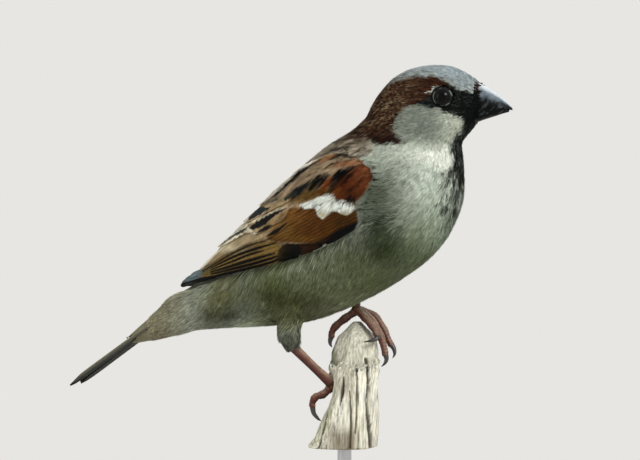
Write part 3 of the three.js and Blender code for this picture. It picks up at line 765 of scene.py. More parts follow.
# length, width and lift of the feathers on each part
featherSizes = {"head": (2.9, 1.3, 0.75), "bill": (1.3, 0.6, 0.4), "body": (7.0, 3.4, 1.35),
                "neck": (4.0, 2.0, 0.95), "legs": (3.2, 1.5, 0.7), "rear": (2.6, None, 0.3)}


def headSize(points):
    nearBill = smoothStep(np.linalg.norm(points - billBase, axis=1), 16, 3)
    return tint(featherSizes["head"], featherSizes["bill"], nearBill).T


def bodySize(points):
    neck = smoothStep(np.linalg.norm(points - headMiddle, axis=1), 30, 16)
    legs = smoothStep(points[:, 2], 73, 69.5)
    rear = smoothStep(points[:, 0], -44, -54)
    size = tint(featherSizes["body"], featherSizes["neck"], neck)
    length, width, lift = tint(size, featherSizes["legs"], legs).T
    return blend(length, featherSizes["rear"][0], rear), width, blend(lift, featherSizes["rear"][2], rear)


headFeathers = Size(14, 0.2, headSize)
bodyFeathers = Size(22, 0.26, bodySize)

bothSides = ("right", "left")
wingBase = {"closing": 0.2, "voxel": 0.6, "smoothing": 6, "depth": 0.75, "calming": 10, "shade": 0.8}
wingParts = ("coverts", "tertials", "quills")
wingNodes = {side: [f"wing_{side}_{part}" for part in wingParts] for side in bothSides}


def wingSurface(side):
    merged = joinedNodes(wingNodes[side], wingBase["closing"])
    return remeshed(merged, f"wing_{side}_base", wingBase["voxel"], wingBase["smoothing"])


print("wings' surfaces")
wingMesh = {side: wingSurface(side) for side in bothSides}
wingTree = {side: treeOf(wingMesh[side]) for side in bothSides}

coat = {
    "headSpacing": 0.47, "bodySpacing": 0.8, "headRadius": 17.5, "crownFrom": 139.5,
    "wingReach": 7, "wingNear": 5,  # a wing this close over the skin hides it
    "eyeClear": 3.5, "rearEnd": -55.5, "billFrom": 40.8, "billHalf": 4.4,
}


def covered(points, normals):  # True where a folded wing lies over the skin
    hidden = np.zeros(len(points), bool)
    for i, (point, normal) in enumerate(zip(points, normals)):
        tree = wingTree["right" if point[1] < 0 else "left"]
        out = Vector((0, -1 if point[1] < 0 else 1, 0))
        for direction in (Vector(normal), (Vector(normal) + out).normalized()):
            hit = tree.ray_cast(Vector(point), direction, coat["wingReach"])
            if hit[0] is not None and (tree.find_nearest(Vector(point))[3] or 0) < coat["wingNear"]:
                hidden[i] = True
    return hidden


def openRoots(spacing, seed, keep):
    roots = scatter(skinMesh, spacing, seed)
    roots = roots[keep(roots)]
    _, normals = nearestOn(skinTree, roots)
    roots = roots[~covered(roots, normals)]
    clear = np.linalg.norm(onLeft(roots) - eyeAt, axis=1) > coat["eyeClear"]
    inBill = (roots[:, 0] > coat["billFrom"]) & (np.abs(roots[:, 1]) < coat["billHalf"])
    return roots[clear & ~inBill & (roots[:, 0] > coat["rearEnd"])]


def isHead(points):
    return np.linalg.norm(points - headMiddle, axis=1) < coat["headRadius"]


print("head feathers")
headRoots = openRoots(coat["headSpacing"], 31, isHead)
onCrown = headRoots[:, 2] > coat["crownFrom"]
headParts = {
    "head_feathers_crown": onCrown,
    "head_feathers_right": ~onCrown & (headRoots[:, 1] < 0),
    "head_feathers_left": ~onCrown & (headRoots[:, 1] >= 0),
}
for seed, (name, chosen) in enumerate(headParts.items()):
    coatPiece(name, skinTree, headRoots[chosen], bodyFlow, headFeathers, headCoat, 40 + seed)
print("  roots", len(headRoots))

print("body feathers")
bodyRoots = openRoots(coat["bodySpacing"], 32, lambda points: ~isHead(points))
x, y, z = bodyRoots.T
onLegs = (z < 71) & (x > -19)
onBack = (z > 105 + 1.02 * (x + 14)) & (x < 16) & ~onLegs
below = ~onBack & ~onLegs
bodyParts = {
    "leg_feathers": onLegs,
    "back_feathers": onBack,
    "breast_feathers_right": below & (x > 12) & (y < 0),
    "breast_feathers_left": below & (x > 12) & (y >= 0),
    "belly_feathers_right": below & (x <= 12) & (y < 0),
    "belly_feathers_left": below & (x <= 12) & (y >= 0),
}
for seed, (name, chosen) in enumerate(bodyParts.items()):
    coatPiece(name, skinTree, bodyRoots[chosen], bodyFlow, bodyFeathers, bodyCoat, 50 + seed)
    print("  ", name, int(chosen.sum()))

# wings


def calm(mesh, passes):
    bm = bmesh.new()
    bm.from_mesh(mesh)
    for _ in range(passes):
        bmesh.ops.smooth_vert(bm, verts=bm.verts, factor=0.5, use_axis_x=True, use_axis_y=True,
                              use_axis_z=True)
    bm.to_mesh(mesh)
    bm.free()


def makeWingBase(side):
    mesh = wingMesh[side]
    places = coordsOf(mesh)
    setColours(mesh, wingPattern(places) * wingBase["shade"])
    places -= normalsOf(mesh) * wingBase["depth"]
    setCoords(mesh, places)
    calm(mesh, wingBase["calming"])
    addUv(mesh, unwrapped(coordsOf(mesh)))
    return addObject(mesh.name, mesh, wingCoat, wingNodes[side])


def castSide(tree, side, spots):  # where lines of sight through places on the side view meet a surface
    mirror = np.array([1, 1 if side == "right" else -1, 1])
    centre = np.array(view["target"])
    eye = centre + viewBack * view["away"]
    places, normals = np.zeros((len(spots), 3)), np.zeros((len(spots), 3))
    found = np.zeros(len(spots), bool)
    for i, (p, q) in enumerate(spots):
        aim = centre + viewRight * p + viewUp * q - eye
        hit = tree.ray_cast(Vector(eye * mirror), Vector(aim * mirror).normalized())
        if hit[0] is not None:
            places[i], normals[i], found[i] = hit[0], hit[1], True
    met = np.flatnonzero(found)
    for i in np.flatnonzero(~found):
        if len(met):
            near = met[np.argmin(np.abs(met - i))]
            aside, higher = spots[i] - spots[near]
            places[i] = places[near] + (viewRight * aside + viewUp * higher) * mirror
            normals[i] = normals[near]
        else:
            guess = (centre + viewRight * spots[i][0] + viewUp * spots[i][1] + viewBack * 12) * mirror
            places[i], normals[i] = tree.find_nearest(Vector(guess))[:2]
    return places, normals


def softened(rows, passes):
    rows = rows.copy()
    for _ in range(passes):
        rows[1:-1] = (rows[:-2] + 2 * rows[1:-1] + rows[2:]) / 4
    return rows


firm = {"columns": 21, "uneven": 0.012, "swept": 0.16, "deepest": -2.5, "highest": 0.6, "calming": 10}
wing = {"tilt": 0.14, "camber": 0.05, "thick": 0.1, "flightRows": 100, "covertRows": 50}


def vane(axis, up, beside, outer, inner, point, lift, tilt, camber, tree, draw):
    # a firm feather as rows and columns of places, with how far across and along each is
    rows, columns = len(axis), firm["columns"]
    t = np.linspace(0, 1, rows)
    pointed = np.sqrt(np.clip(1 - (np.clip(t - point, 0, 1) / (1 - point)) ** 2.2, 0, 1))
    shape = np.minimum(1, 0.45 + 3 * t) * pointed
    across = np.linspace(-1, 1, columns)
    reach = np.where(across > 0, outer, inner)[None] * across[None] * shape[:, None]
    reach = reach * (1 + draw.normal(0, firm["uneven"], (rows, columns)))
    swept = np.abs(across)[None] ** 1.5 * firm["swept"] * (outer + inner) * (1 - t[:, None])
    ahead = unit(np.gradient(axis, axis=0))
    places = axis[:, None] + beside[:, None] * reach[..., None] + ahead[:, None] * swept[..., None] * 0.5
    if tree is not None:
        flat = places.reshape(-1, 3)
        near, _ = nearestOn(tree, flat)
        drop = ((near - flat).reshape(rows, columns, 3) * up[:, None]).sum(2)
        drop = np.clip(drop, firm["deepest"], firm["highest"])
        for _ in range(firm["calming"]):
            drop = softened(softened(drop, 1).T, 1).T
        places = places + up[:, None] * drop[..., None]
    rise = lift + tilt * across - camber * across ** 2
    places = places + up[:, None] * rise[:, None]
    length = np.concatenate([[0], np.cumsum(np.linalg.norm(np.diff(axis, axis=0), axis=1))])
    size = (rows, columns)
    return places, np.broadcast_to(across, size), np.broadcast_to(length[:, None], size), reach


def vaneMesh(name, grids, colours, acrosses, alongs):
    places, faces, uvs, first = [], [], [], 0
    cells = math.ceil(math.sqrt(len(grids)))
    for k, grid in enumerate(grids):
        rows, columns = grid.shape[:2]
        index = first + np.arange(rows * columns).reshape(rows, columns)
        corners = [index[:-1, :-1], index[:-1, 1:], index[1:, 1:], index[1:, :-1]]
        faces.append(np.stack(corners, -1).reshape(-1, 4))
        places.append(grid.reshape(-1, 3))
        u, v = np.meshgrid(np.linspace(0.05, 0.95, columns), np.linspace(0.05, 0.95, rows))
        uvs.append(np.stack([(u + k % cells) / cells, (v + k // cells) / cells], -1).reshape(-1, 2))
        first += rows * columns
    mesh = meshOf(name, np.concatenate(places), np.concatenate(faces))
    setColours(mesh, np.concatenate([c.reshape(-1, 3) for c in colours]))
    for layer, values in (("across", acrosses), ("along", alongs)):
        attribute = mesh.attributes.new(layer, "FLOAT", "POINT")
        attribute.data.foreach_set("value", np.concatenate([v.ravel() for v in values]).astype(np.float32))
    addUv(mesh, np.concatenate(uvs))
    return mesh


def thicken(piece, thick):
    solid = piece.modifiers.new("thickness", "SOLIDIFY")
    solid.thickness, solid.offset = thick * mm, -1


def vaneMaterial(name):
    finish = Finish(name, roughness=0.6, specular=0.06)
    colour = finish.attribute("plumage")
    across, along = finish.attribute("across", "Fac"), finish.attribute("along", "Fac")
    slant = along + across.maths("ABSOLUTE") * 1.6
    lines = (slant * 26).maths("SINE") * 0.5 + 0.5
    mottled = finish.noise(finish.place(), 700, 3)
    shade = 0.92 + lines * 0.08 + (mottled - 0.5) * 0.22
    tinted = finish.shaded(colour, shade)
    normal = finish.bump(lines, 0.25, 0.05)
    return finish.wear(colour=tinted, roughness=0.42 + mottled * 0.22, normal=normal)


vaneCoat = vaneMaterial("vanePlumage")

# each firm feather of the folded wing: root, tip, outer and inner width, bend, lift and how pointed
quills = [
    ((-6.0, -7.2), (-40.4, -15.4), 1.3, 2.2, 1.3, -0.60, 0.93),
    ((-6.2, -6.6), (-39.2, -14.3), 1.3, 2.0, 1.3, -0.52, 0.92),
    ((-6.4, -6.0), (-37.6, -13.0), 1.3, 2.0, 1.3, -0.44, 0.92),
    ((-6.5, -7.4), (-35.6, -14.0), 1.2, 2.2, 0.8, -0.30, 0.86),
    ((-6.5, -6.4), (-34.9, -13.5), 1.3, 2.2, 0.9, -0.22, 0.86),
    ((-6.5, -5.4), (-34.4, -13.0), 1.3, 2.2, 1.0, -0.14, 0.86),
    ((-6.8, -4.3), (-34.0, -12.4), 1.3, 2.2, 1.1, -0.06, 0.86),
    ((-7.0, -3.2), (-33.8, -12.0), 1.4, 2.2, 1.4, 0.02, 0.86),
    ((-7.4, -2.0), (-33.6, -11.6), 1.5, 2.4, 1.9, 0.10, 0.86),
    ((-7.8, -0.8), (-33.6, -11.3), 1.6, 2.4, 2.6, 0.18, 0.86),
    ((-7.0, 1.8), (-33.8, -11.0), 2.0, 2.1, 4.4, 0.26, 0.84),
    ((-8.5, 6.2), (-28.6, -4.8), 1.8, 1.6, 1.6, 0.36, 0.80),
    ((-8.6, 10.8), (-24.4, -2.2), 1.1, 1.4, 0.2, 0.36, 0.80),
    ((-4.0, 8.4), (-21.2, -0.6), 1.9, 1.5, 0.5, 0.46, 0.80),
    ((-6.0, 10.6), (-21.2, 2.2), 1.7, 1.4, 0.5, 0.58, 0.80),
]
greaterRow = {"count": 12, "roots": ((12.4, 4.8), (0.2, 6.6)), "tips": ((2.8, -3.4), (-13.4, -3.2)),
              "dip": -0.8}


def greaterCoverts():  # the long coverts side by side, each a little over the one in front
    (rootStart, rootEnd), (tipStart, tipEnd) = np.array(greaterRow["roots"]), np.array(greaterRow["tips"])
    feathers = []
    for k in range(greaterRow["count"]):
        t = k / (greaterRow["count"] - 1)
        tip = tipStart + (tipEnd - tipStart) * t + np.array([0, greaterRow["dip"] * 4 * t * (1 - t)])
        feathers.append((rootStart + (rootEnd - rootStart) * t, tip, 1.1, 1.5, 0.5, 0.28 + 0.026 * k, 0.80))
    return feathers


covertQuills = [
    ((-0.6, -5.0), (-12.0, -9.0), 1.2, 1.8, 0.4, 0.02, 0.60),
    ((0.8, -4.2), (-12.6, -7.8), 1.4, 1.8, 0.4, 0.08, 0.60),
    ((1.0, -3.4), (-12.0, -6.4), 1.5, 1.8, 0.4, 0.14, 0.60),
    ((12.5, 2.0), (0.4, -5.0), 1.2, 1.8, 0.8, 0.12, 0.80),
    ((12.5, 3.2), (1.2, -4.2), 1.6, 1.8, 0.8, 0.18, 0.80),
    ((12.6, 4.4), (3.0, -3.2), 1.7, 1.8, 0.6, 0.24, 0.76),
    *greaterCoverts(),
    ((-1.0, 7.4), (-15.8, -2.5), 1.3, 1.5, 0.4, 0.66, 0.80),
    ((-3.0, 8.0), (-18.6, -1.2), 1.2, 1.4, 0.3, 0.70, 0.80),
]

wingHues = {"ground": paint(150, 130, 104), "bar": paint(216, 221, 211), "barBuff": paint(176, 164, 124),
            "barGrey": paint(118, 120, 118), "gap": paint(8, 9, 7), "line": paint(210, 210, 194)}
wingAreas = [  # outline, how soft its edge is, and its hue
    ([(-9, 9.4), (-4, 11.5), (0, 12), (4, 12), (5, 8), (0, 9), (-4, 7.6), (-9, 7.4)], 0.9,
     paint(98, 72, 36)),
    ([(4.0, 8.4), (3.6, 11), (4.2, 13.4), (6, 15), (8.4, 16.6), (10.6, 18.2), (11.8, 19.4), (14, 19.8),
      (15.4, 18.6), (15.7, 16.6), (15.2, 14.4), (14.0, 12.6), (13.2, 10.8), (11.6, 9.0), (9.9, 8.1),
      (7, 8.0)], 0.45, paint(78, 38, 17)),
    ([(-8, 6.2), (-2, 6.6), (4, 6.4), (10, 6.6), (13.4, 6.0), (15, 4), (14.6, 1), (13, -0.6), (8, -2.4),
      (1, -4), (-5, -3.7), (-13, -3.4), (-17, -2), (-14, 2)], 0.5, paint(72, 42, 10)),
    ([(-9, 8), (-14, 7.8), (-18.4, 7), (-21.8, 3.4), (-24.4, 0.6), (-34.4, -9.4), (-33.4, -11.8), (-27, -7),
      (-22, -4.4), (-16, -3), (-12, 1), (-9, 5)], 0.35, paint(158, 138, 104)),
    ([(-11.2, -3.6), (-16.8, -2.8), (-22, -4.3), (-27, -7), (-33.6, -11.4), (-36.4, -13.9), (-28, -13.4),
      (-12, -9.8)], 0.3, paint(112, 90, 48)),
    ([(-10.8, -4.4), (-5, -3.7), (1.4, -3.2), (0.8, -5.4), (-6, -8), (-12.2, -9.6)], 0.4, paint(34, 18, 8)),
    ([(-1.4, -3.2), (2, -1.8), (6, 0.8), (10.5, 2.6), (14.8, 3.6), (14, -1), (8, -3.0), (3, -4.2),
      (-0.4, -5)], 0.45, paint(5, 4, 3)),
    ([(-11.8, -5.6), (-10.6, -4.4), (-9, -3.8), (-6.4, -4.1), (-5.2, -5.2), (-6, -8), (-10, -9.2),
      (-12.4, -8.4)], 0.3, paint(5, 5, 3)),
    ([(-33.0, -8.4), (-36, -9.8), (-39.6, -12.4), (-44, -17), (-40, -19), (-36, -17), (-34.4, -14.4),
      (-33.4, -12.2)], 0.4, paint(94, 110, 112)),
]
wingWashes = [  # broad changes of tone: middle, reach each way, hue and strength
    ((-3, 17), (5, 2.5), paint(134, 118, 90), 0.5),
    ((8, 24), (6, 2.2), paint(140, 134, 120), 0.8),
    ((1, 10.6), (3, 1.4), paint(72, 46, 12), 0.8),
    ((13, 16.8), (3.2, 3.0), paint(108, 62, 36), 0.85),
    ((8, 10), (4.5, 1.8), paint(66, 33, 11), 0.8),
    ((6.6, 13.3), (1.5, 1.5), paint(48, 14, 3), 0.9),
    ((4.6, 10.4), (1.3, 1.5), paint(104, 58, 24), 0.7),
    ((-8, 3.8), (4, 2.2), paint(112, 74, 32), 0.8),
    ((-10, -0.6), (4, 2.4), paint(88, 60, 18), 0.8),
    ((-5, -2.6), (5, 0.9), paint(94, 64, 20), 0.7),
    ((7, 2.6), (4, 2.6), paint(46, 28, 8), 0.8),
    ((-15.6, 1.8), (3, 1.4), paint(126, 106, 66), 0.8),
    ((-11.6, 0.2), (3.2, 2.6), paint(108, 78, 38), 0.85),
    ((-10, 8.4), (5, 1.0), paint(116, 100, 68), 0.6),
    ((-21, -5.2), (6, 1.3), paint(58, 44, 16), 0.8),
    ((-14, -6), (2.4, 2), paint(128, 102, 54), 0.6),
    ((-32, -11), (2.4, 1.6), paint(84, 80, 52), 0.7),
    ((-22, -2.8), (3.6, 1.2), paint(160, 142, 110), 0.8),
    ((-27, -7.2), (4, 1.2), paint(112, 92, 56), 0.7),
    ((-16.4, 4.4), (2.4, 0.7), paint(182, 156, 120), 0.7),
    ((-39.4, -14.8), (1.6, 1.0), paint(62, 74, 76), 0.6),
    ((-26.6, -5.2), (4.5, 1.3), paint(206, 192, 158), 0.85),
]
wingStrokes = [  # a tapering stroke: its path, its widths along it, and its hue
    ([(3.2, 18.2), (8, 19.1), (13.4, 20.0)], (0.8, 1.7, 0.8), paint(136, 96, 66)),
    ([(-0.4, 19.4), (3.6, 21.2)], (0.6, 1.5, 0.6), paint(134, 94, 62)),
    ([(2.8, 15.2), (1.8, 13.2), (0.6, 11.2)], (0.6, 1.9, 0.8), paint(104, 48, 14)),
    ([(-18, 7.2), (-13.8, 10.6), (-9.8, 14.3), (-5.8, 17.7), (-1, 20.9)], (1.2, 1.9, 1.8, 1.2),
     paint(226, 217, 198)),
    ([(-1.5, 21.6), (2, 23.6), (6, 25.2)], (0.4, 0.9, 0.5), paint(190, 180, 164)),
    ([(-2.4, 21.4), (1.2, 24.3), (4.8, 26.2)], (0.5, 0.6, 0.5), paint(104, 88, 72)),
    ([(-13.8, 9.0), (-10, 12.5), (-7.4, 15.1), (-4.2, 17.5), (-0.2, 19.9)], (0.35, 0.85, 1.25, 1.0, 0.3),
     paint(24, 24, 22)),
    ([(-1.6, 20.7), (1.6, 22.4), (4.4, 24.2), (8.6, 24.5)], (0.3, 0.55, 0.65, 1.0), paint(44, 46, 46)),
    ([(3.0, 20.2), (5.2, 21.5), (7.4, 21.7), (9.4, 22.2)], (0.5, 1.3, 1.0, 0.6), paint(26, 26, 20)),
    ([(6.4, 20.8), (8.8, 21.0), (11, 20.6)], (0.3, 0.75, 0.3), paint(10, 8, 6)),
    ([(1.0, 17.2), (3, 18.7), (5.6, 19.7)], (0.3, 0.6, 0.3), paint(36, 28, 18)),
    ([(11.0, 18.5), (8.2, 17.2), (5.4, 15.6), (3.8, 13.2), (3.1, 10.8)], (0.4, 1.5, 2.8, 1.9, 0.4),
     paint(6, 4, 3)),
    ([(2.6, 16.0), (0.9, 14.9), (-0.2, 13.4), (-1.0, 12.0)], (0.4, 2.0, 1.9, 0.4), paint(13, 9, 7)),
    ([(-0.2, 15.6), (-1.7, 13.9), (-2.7, 12.3), (-3.6, 10.8)], (0.4, 1.6, 2.0, 0.4), paint(11, 15, 7)),
    ([(-2.2, 14.4), (-4.6, 12.5), (-6.8, 10.8), (-9.8, 8.9)], (0.4, 1.6, 2.4, 0.8), paint(26, 30, 27)),
    ([(-6.4, 14.9), (-7.9, 13.7)], (0.3, 0.7, 0.3), paint(50, 42, 22)),
    ([(-2.7, 15.9), (-3.9, 15.0)], (0.3, 0.6, 0.3), paint(64, 36, 26)),
    ([(-11.6, 8.8), (-13.6, 8.3), (-15.8, 7.5)], (0.4, 0.8, 0.3), paint(84, 88, 76)),
    ([(4.4, 8.3), (9.6, 8.2)], (0.3, 0.5, 0.5), paint(20, 11, 5)),
    ([(-14.2, 6.3), (-17.4, 5.3), (-20.0, 3.1)], (0.3, 1.9, 0.4), paint(20, 30, 30)),
    ([(-17.8, 7.0), (-20.2, 4.7), (-21.3, 2.0)], (0.5, 0.8, 0.7), paint(212, 204, 186)),
    ([(-9.2, 6.7), (-12, 5.6), (-15.2, 4.1), (-18, 2.9), (-20.6, 1.8)], (0.3, 0.6, 0.75, 0.6, 0.5),
     paint(206, 196, 168)),
    ([(-9.8, 6.2), (-13.2, 4.4), (-16.8, 1.9), (-20, 0.2)], (0.3, 1.0, 1.9, 0.6), paint(11, 15, 12)),
    ([(-13.8, 1.3), (-15.6, 0.4), (-17.8, -0.8)], (0.3, 1.0, 0.3), paint(18, 14, 6)),
    ([(-9.4, 2.0), (-11.2, 0.5), (-12.8, -0.6), (-15, -1.7)], (0.3, 0.7, 1.2, 0.3), paint(12, 9, 4)),
    ([(-18.4, -1.4), (-20.9, 0.4)], (0.5, 1.0, 0.8), paint(196, 188, 164)),
    ([(-21, 1.3), (-24, -0.5), (-27.4, -3.2)], (0.7, 0.8, 0.5), paint(210, 204, 182)),
    ([(-20.8, 0.4), (-23.4, -1.1), (-25.6, -2.5), (-28, -4.2)], (0.3, 0.85, 0.6, 0.3), paint(58, 62, 56)),
    ([(-21, -0.6), (-25, -2.7), (-28, -5), (-30.4, -7.1), (-32.2, -9), (-34, -11)], (0.5, 0.8, 1.1, 0.8),
     paint(224, 216, 188)),
    ([(-15.6, -3.1), (-20, -4.4), (-25, -6.8), (-30, -9.7), (-33.4, -11.8)], (0.3, 0.6, 0.7, 0.5, 0.3),
     paint(40, 28, 8)),
    ([(-12.6, -3.7), (-18, -5.3), (-24, -7.4), (-31, -10.8)], (0.3, 0.8, 0.7, 0.3), paint(18, 13, 4)),
    ([(-16, -5.9), (-20, -7.0), (-25, -9.0), (-31, -11.4)], (0.3, 0.7, 0.6, 0.3), paint(16, 12, 4)),
    ([(-12.8, -6.6), (-18, -8.1), (-24, -9.9), (-31, -12.0)], (0.5, 0.85, 0.8, 0.4), paint(11, 9, 3)),
    ([(-12.2, -7.5), (-17, -9.0), (-23, -10.6), (-31, -12.6)], (0.5, 0.9, 0.85, 0.4), paint(10, 8, 3)),
    ([(-12, -8.4), (-16, -9.8), (-22, -11.3), (-29, -12.8)], (0.6, 0.85, 0.8, 0.4), paint(10, 8, 3)),
    ([(-12, -9.6), (-20, -11.7), (-28, -13.1), (-34, -14.3), (-38, -15.6), (-41, -16.6)],
     (0.5, 0.9, 1.1, 1.3, 1.5, 1.3), paint(8, 8, 6)),
    ([(1.2, -4.0), (4.4, -2.6), (7.4, -1.0), (10.2, 0.7)], (0.5, 1.9, 3.2, 2.6), paint(5, 4, 3)),
    ([(-33.6, -9.5), (-36.2, -11.2)], (0.4, 0.7, 0.3), paint(176, 184, 174)),
    ([(9.8, 16.8), (7.8, 14.8), (6.4, 13.0)], (0.3, 0.9, 0.3), paint(30, 13, 8)),
    ([(12.6, 15.4), (11.0, 13.2)], (0.2, 0.7, 0.2), paint(36, 15, 8)),
    ([(9.4, 12.4), (7.8, 10.6)], (0.2, 0.8, 0.2), paint(34, 15, 8)),
]
whiteBar = [(-5.8, 7.0), (-4.6, 7.8), (-2.2, 8.5), (-0.4, 9.3), (1.6, 10.1), (2.8, 10), (3.6, 9),
            (4.4, 8.1), (6, 8.1), (7.6, 7.4), (8.8, 6.9), (9.9, 6.4), (10, 5.7), (9.0, 4.9), (7.6, 4.2),
            (6.2, 4.6), (4.8, 5.3), (3.3, 5.3), (2.3, 4.2), (0.8, 3.0), (-0.7, 4.2), (-1.2, 6.1),
            (-2.6, 6.2), (-4.4, 6.1)]
# how far forward the wing shows at each height
wingFront = [(-6, -2), (-3, 5.0), (0, 9.8), (2, 10.8), (4, 10.6), (6, 10.4), (8, 10.4), (10, 12.2),
             (12, 13.8), (14, 15), (16, 15.6), (18, 15.4), (20, 14), (21.6, 11.6), (23.5, 10.5), (26, 9)]


def wingPattern(points, scatter=0):  # the colour of the folded wing at each place, with painted shade ahead of its front edge
    p, q = sidePlace(points)
    p, q = p + 0.75 * scatter, q + 0.6 * scatter
    shoulder = smoothStep(q - 0.4 * p, 5.5, 8)
    loose = 0.04 + 0.16 * shoulder
    p, q = p + loose * ripple(points, 0.6, 24), q + loose * ripple(points, 0.7, 25)
    along, beside = p * 0.80 + q * 0.60, q * 0.80 - p * 0.60
    barbs = ripple(np.stack([along * 0.2, beside, 0 * p], 1), 0.34, 28)
    mottle = ripple(points, 0.9, 29) + 0.8 * ripple(points, 0.5, 31)
    colour = np.tile(wingHues["ground"], (len(points), 1))
    scapular = np.sin((q - p) * 3.1 + 0.8 * ripple(points, 2.0, 26)) * shoulder
    colour = colour * (1 + 0.2 * scapular)[:, None]
    for outline, soft, hue in wingAreas:
        colour = tint(colour, hue, smoothStep(depthInside(p, q, outline), -soft, soft))
    for middle, reach, hue, strength in wingWashes:
        colour = tint(colour, hue, glow(p, q, middle, reach) * strength)
    coverts = smoothStep(depthInside(p, q, wingAreas[2][0]), 0, 0.8)
    broad = np.sin((q - 0.47 * p) * 6.6 + 0.9 * ripple(points, 2.2, 27))
    lines = broad + 0.6 * np.sin((q - 0.42 * p) * 15 + ripple(points, 1.5, 30))
    colour = colour * (1 + 0.24 * lines * coverts)[:, None]
    for path, widths, hue in wingStrokes:
        colour = tint(colour, hue, smoothStep(strokeDepth(p, q, path, widths), -0.16, 0.14))
    colour = colour * np.clip(1 + 0.14 * barbs + 0.22 * mottle * shoulder, 0.3, 1.5)[:, None]
    bar = smoothStep(depthInside(p, q, whiteBar), -0.25, 0.25)
    buff = glow(p, q, (1, 4.2), (1.5, 1.1)) + glow(p, q, (7.2, 4.6), (1.3, 0.7))
    grey = glow(p, q, (-1.7, 6.6), (0.7, 0.9))
    white = tint(wingHues["bar"], wingHues["barBuff"], buff * 0.85)
    white = tint(white, wingHues["barGrey"], grey * 0.7)
    colour = tint(colour, white, bar)
    gap = smoothStep(strokeDepth(p, q, [(8.2, 9.6), (9.0, 8.4), (9.8, 7.2)], (0.8, 2.0, 0.8)), -0.2, 0.2)
    colour = tint(colour, wingHues["gap"], gap)
    # ahead of the wing's front edge the body's colour, darkened as painted shade
    pastFrontShaded = smoothStep(p - np.interp(q, *np.array(wingFront).T), -0.3, 0.4)[:, None]
    ahead = np.flatnonzero(pastFrontShaded[:, 0] > 0)
    colour[ahead] = blend(colour[ahead], plumage(points[ahead]) * 0.7, pastFrontShaded[ahead])
    return np.clip(colour, 0.002, 0.92)


def vaneHue(places, across, along, reach, draw):  # the wing's colours with the fine grain of the barbs and painted shade along the vanes' edges
    line = draw.normal(0, 1, 260)
    slant = np.clip(((along + np.abs(reach) * 0.9) / 0.24).astype(int), 0, 259)
    # each vane darker along its edges: painted shade where the feathers overlap
    edge = 1 - 0.16 * smoothStep(np.abs(across), 0.86, 1.0)
    scatter = draw.normal(0, 0.06, 260)[slant].ravel()
    colour = wingPattern(places.reshape(-1, 3), scatter).reshape(*places.shape)
    return np.clip(colour * (edge * (1 + line[slant] * 0.11))[..., None], 0.002, 0.92)


def addQuills(name, side, feathers, rows, seed):
    draw = np.random.default_rng(seed)
    tree, sign = wingTree[side], 1 if side == "right" else -1
    grids, colours, acrosses, alongs = [], [], [], []
    for root, tip, outer, inner, bend, lift, point in feathers:
        t = np.linspace(0, 1, rows)[:, None]
        root, tip = np.array(root), np.array(tip)
        sideways = np.array([-(tip - root)[1], (tip - root)[0]]) / np.linalg.norm(tip - root)
        spots = root + (tip - root) * t - sideways * bend * 4 * t * (1 - t) * 0.5
        axis, up = castSide(tree, side, spots)
        axis, up = softened(axis, 8), unit(softened(up, 14))
        beside = unit(np.cross(up, np.gradient(axis, axis=0))) * sign
        grid, across, along, reach = vane(axis, up, beside, outer, inner, point, lift, wing["tilt"],
                                          wing["camber"], tree, draw)
        grids.append(grid[:, ::sign])  # mirrored columns keep the left wing's faces outwards
        colours.append(vaneHue(grid, across, along, reach, draw)[:, ::sign])
        acrosses.append(across[:, ::sign])
        alongs.append(along)
    piece = addObject(name, vaneMesh(name, grids, colours, acrosses, alongs), vaneCoat)
    thicken(piece, wing["thick"])


def joinedTree(meshes):
    places, faces, first = [], [], 0
    for mesh in meshes:
        own = coordsOf(mesh)
        places += [Vector(p) for p in own]
        faces += [[v + first for v in f.vertices] for f in mesh.polygons]
        first += len(own)
    return BVHTree.FromPolygons(places, faces)


print("wing quills")
outerTree = joinedTree([skinMesh, wingMesh["right"], wingMesh["left"]])
for side in bothSides:
    makeWingBase(side)
    addQuills(f"wing_{side}_flight", side, quills, wing["flightRows"], 61)
    addQuills(f"wing_{side}_greater", side, covertQuills, wing["covertRows"], 62)

# soft feathers of the wing: root, tip and width
softFeathers = {
    "wing_{}_bar": [((1.5, 10.4), (-5.8, 6.9), 2.0), ((3.0, 10.4), (-2.6, 5.9), 2.2),
                    ((4.2, 10.0), (-0.8, 3.9), 2.8), ((4.8, 9.8), (1.2, 2.9), 2.8),
                    ((6.6, 9.0), (3.6, 4.8), 2.8), ((8.2, 8.6), (6.6, 4.2), 2.6),
                    ((9.8, 8.2), (8.4, 4.6), 2.4), ((11.0, 7.6), (9.8, 5.2), 1.8)],
    "shoulder_{}_feathers": [((-3.2, 13.8), (-10.4, 8.2), 2.9), ((-0.6, 16.2), (-6.0, 10.6), 2.7),
                             ((1.2, 17.8), (-3.9, 10.2), 2.8), ((4.2, 18.2), (-1.2, 11.4), 2.9),
                             ((8.6, 18.2), (2.8, 10.6), 3.3), ((12.4, 19.8), (6.2, 14.4), 2.9),
                             ((4.6, 21.5), (-1.6, 17.8), 2.4), ((8.6, 22.2), (2.6, 19.6), 2.2),
                             ((12.0, 21.0), (6.2, 19.2), 2.2), ((-5.4, 16.4), (-11.6, 11.0), 2.2),
                             ((9.4, 10.2), (9.0, 6.4), 1.9)],
}


def softHue(line, verts, draw):
    shade = stripShade(0.72, 0.94, 1.06) * draw.normal(1, 0.13, verts.shape[:2])[..., None, None]
    scatter = np.broadcast_to(draw.normal(0, 0.5, verts.shape[:2])[..., None], verts.shape[:3]).ravel()
    return np.clip(wingPattern(verts.reshape(-1, 3), scatter).reshape(verts.shape) * shade, 0.002, 0.92)


def paleHue(line, verts, draw):
    return np.array(wingHues["line"]) * np.clip(draw.normal(1, 0.1, verts.shape), 0.6, 1.1)


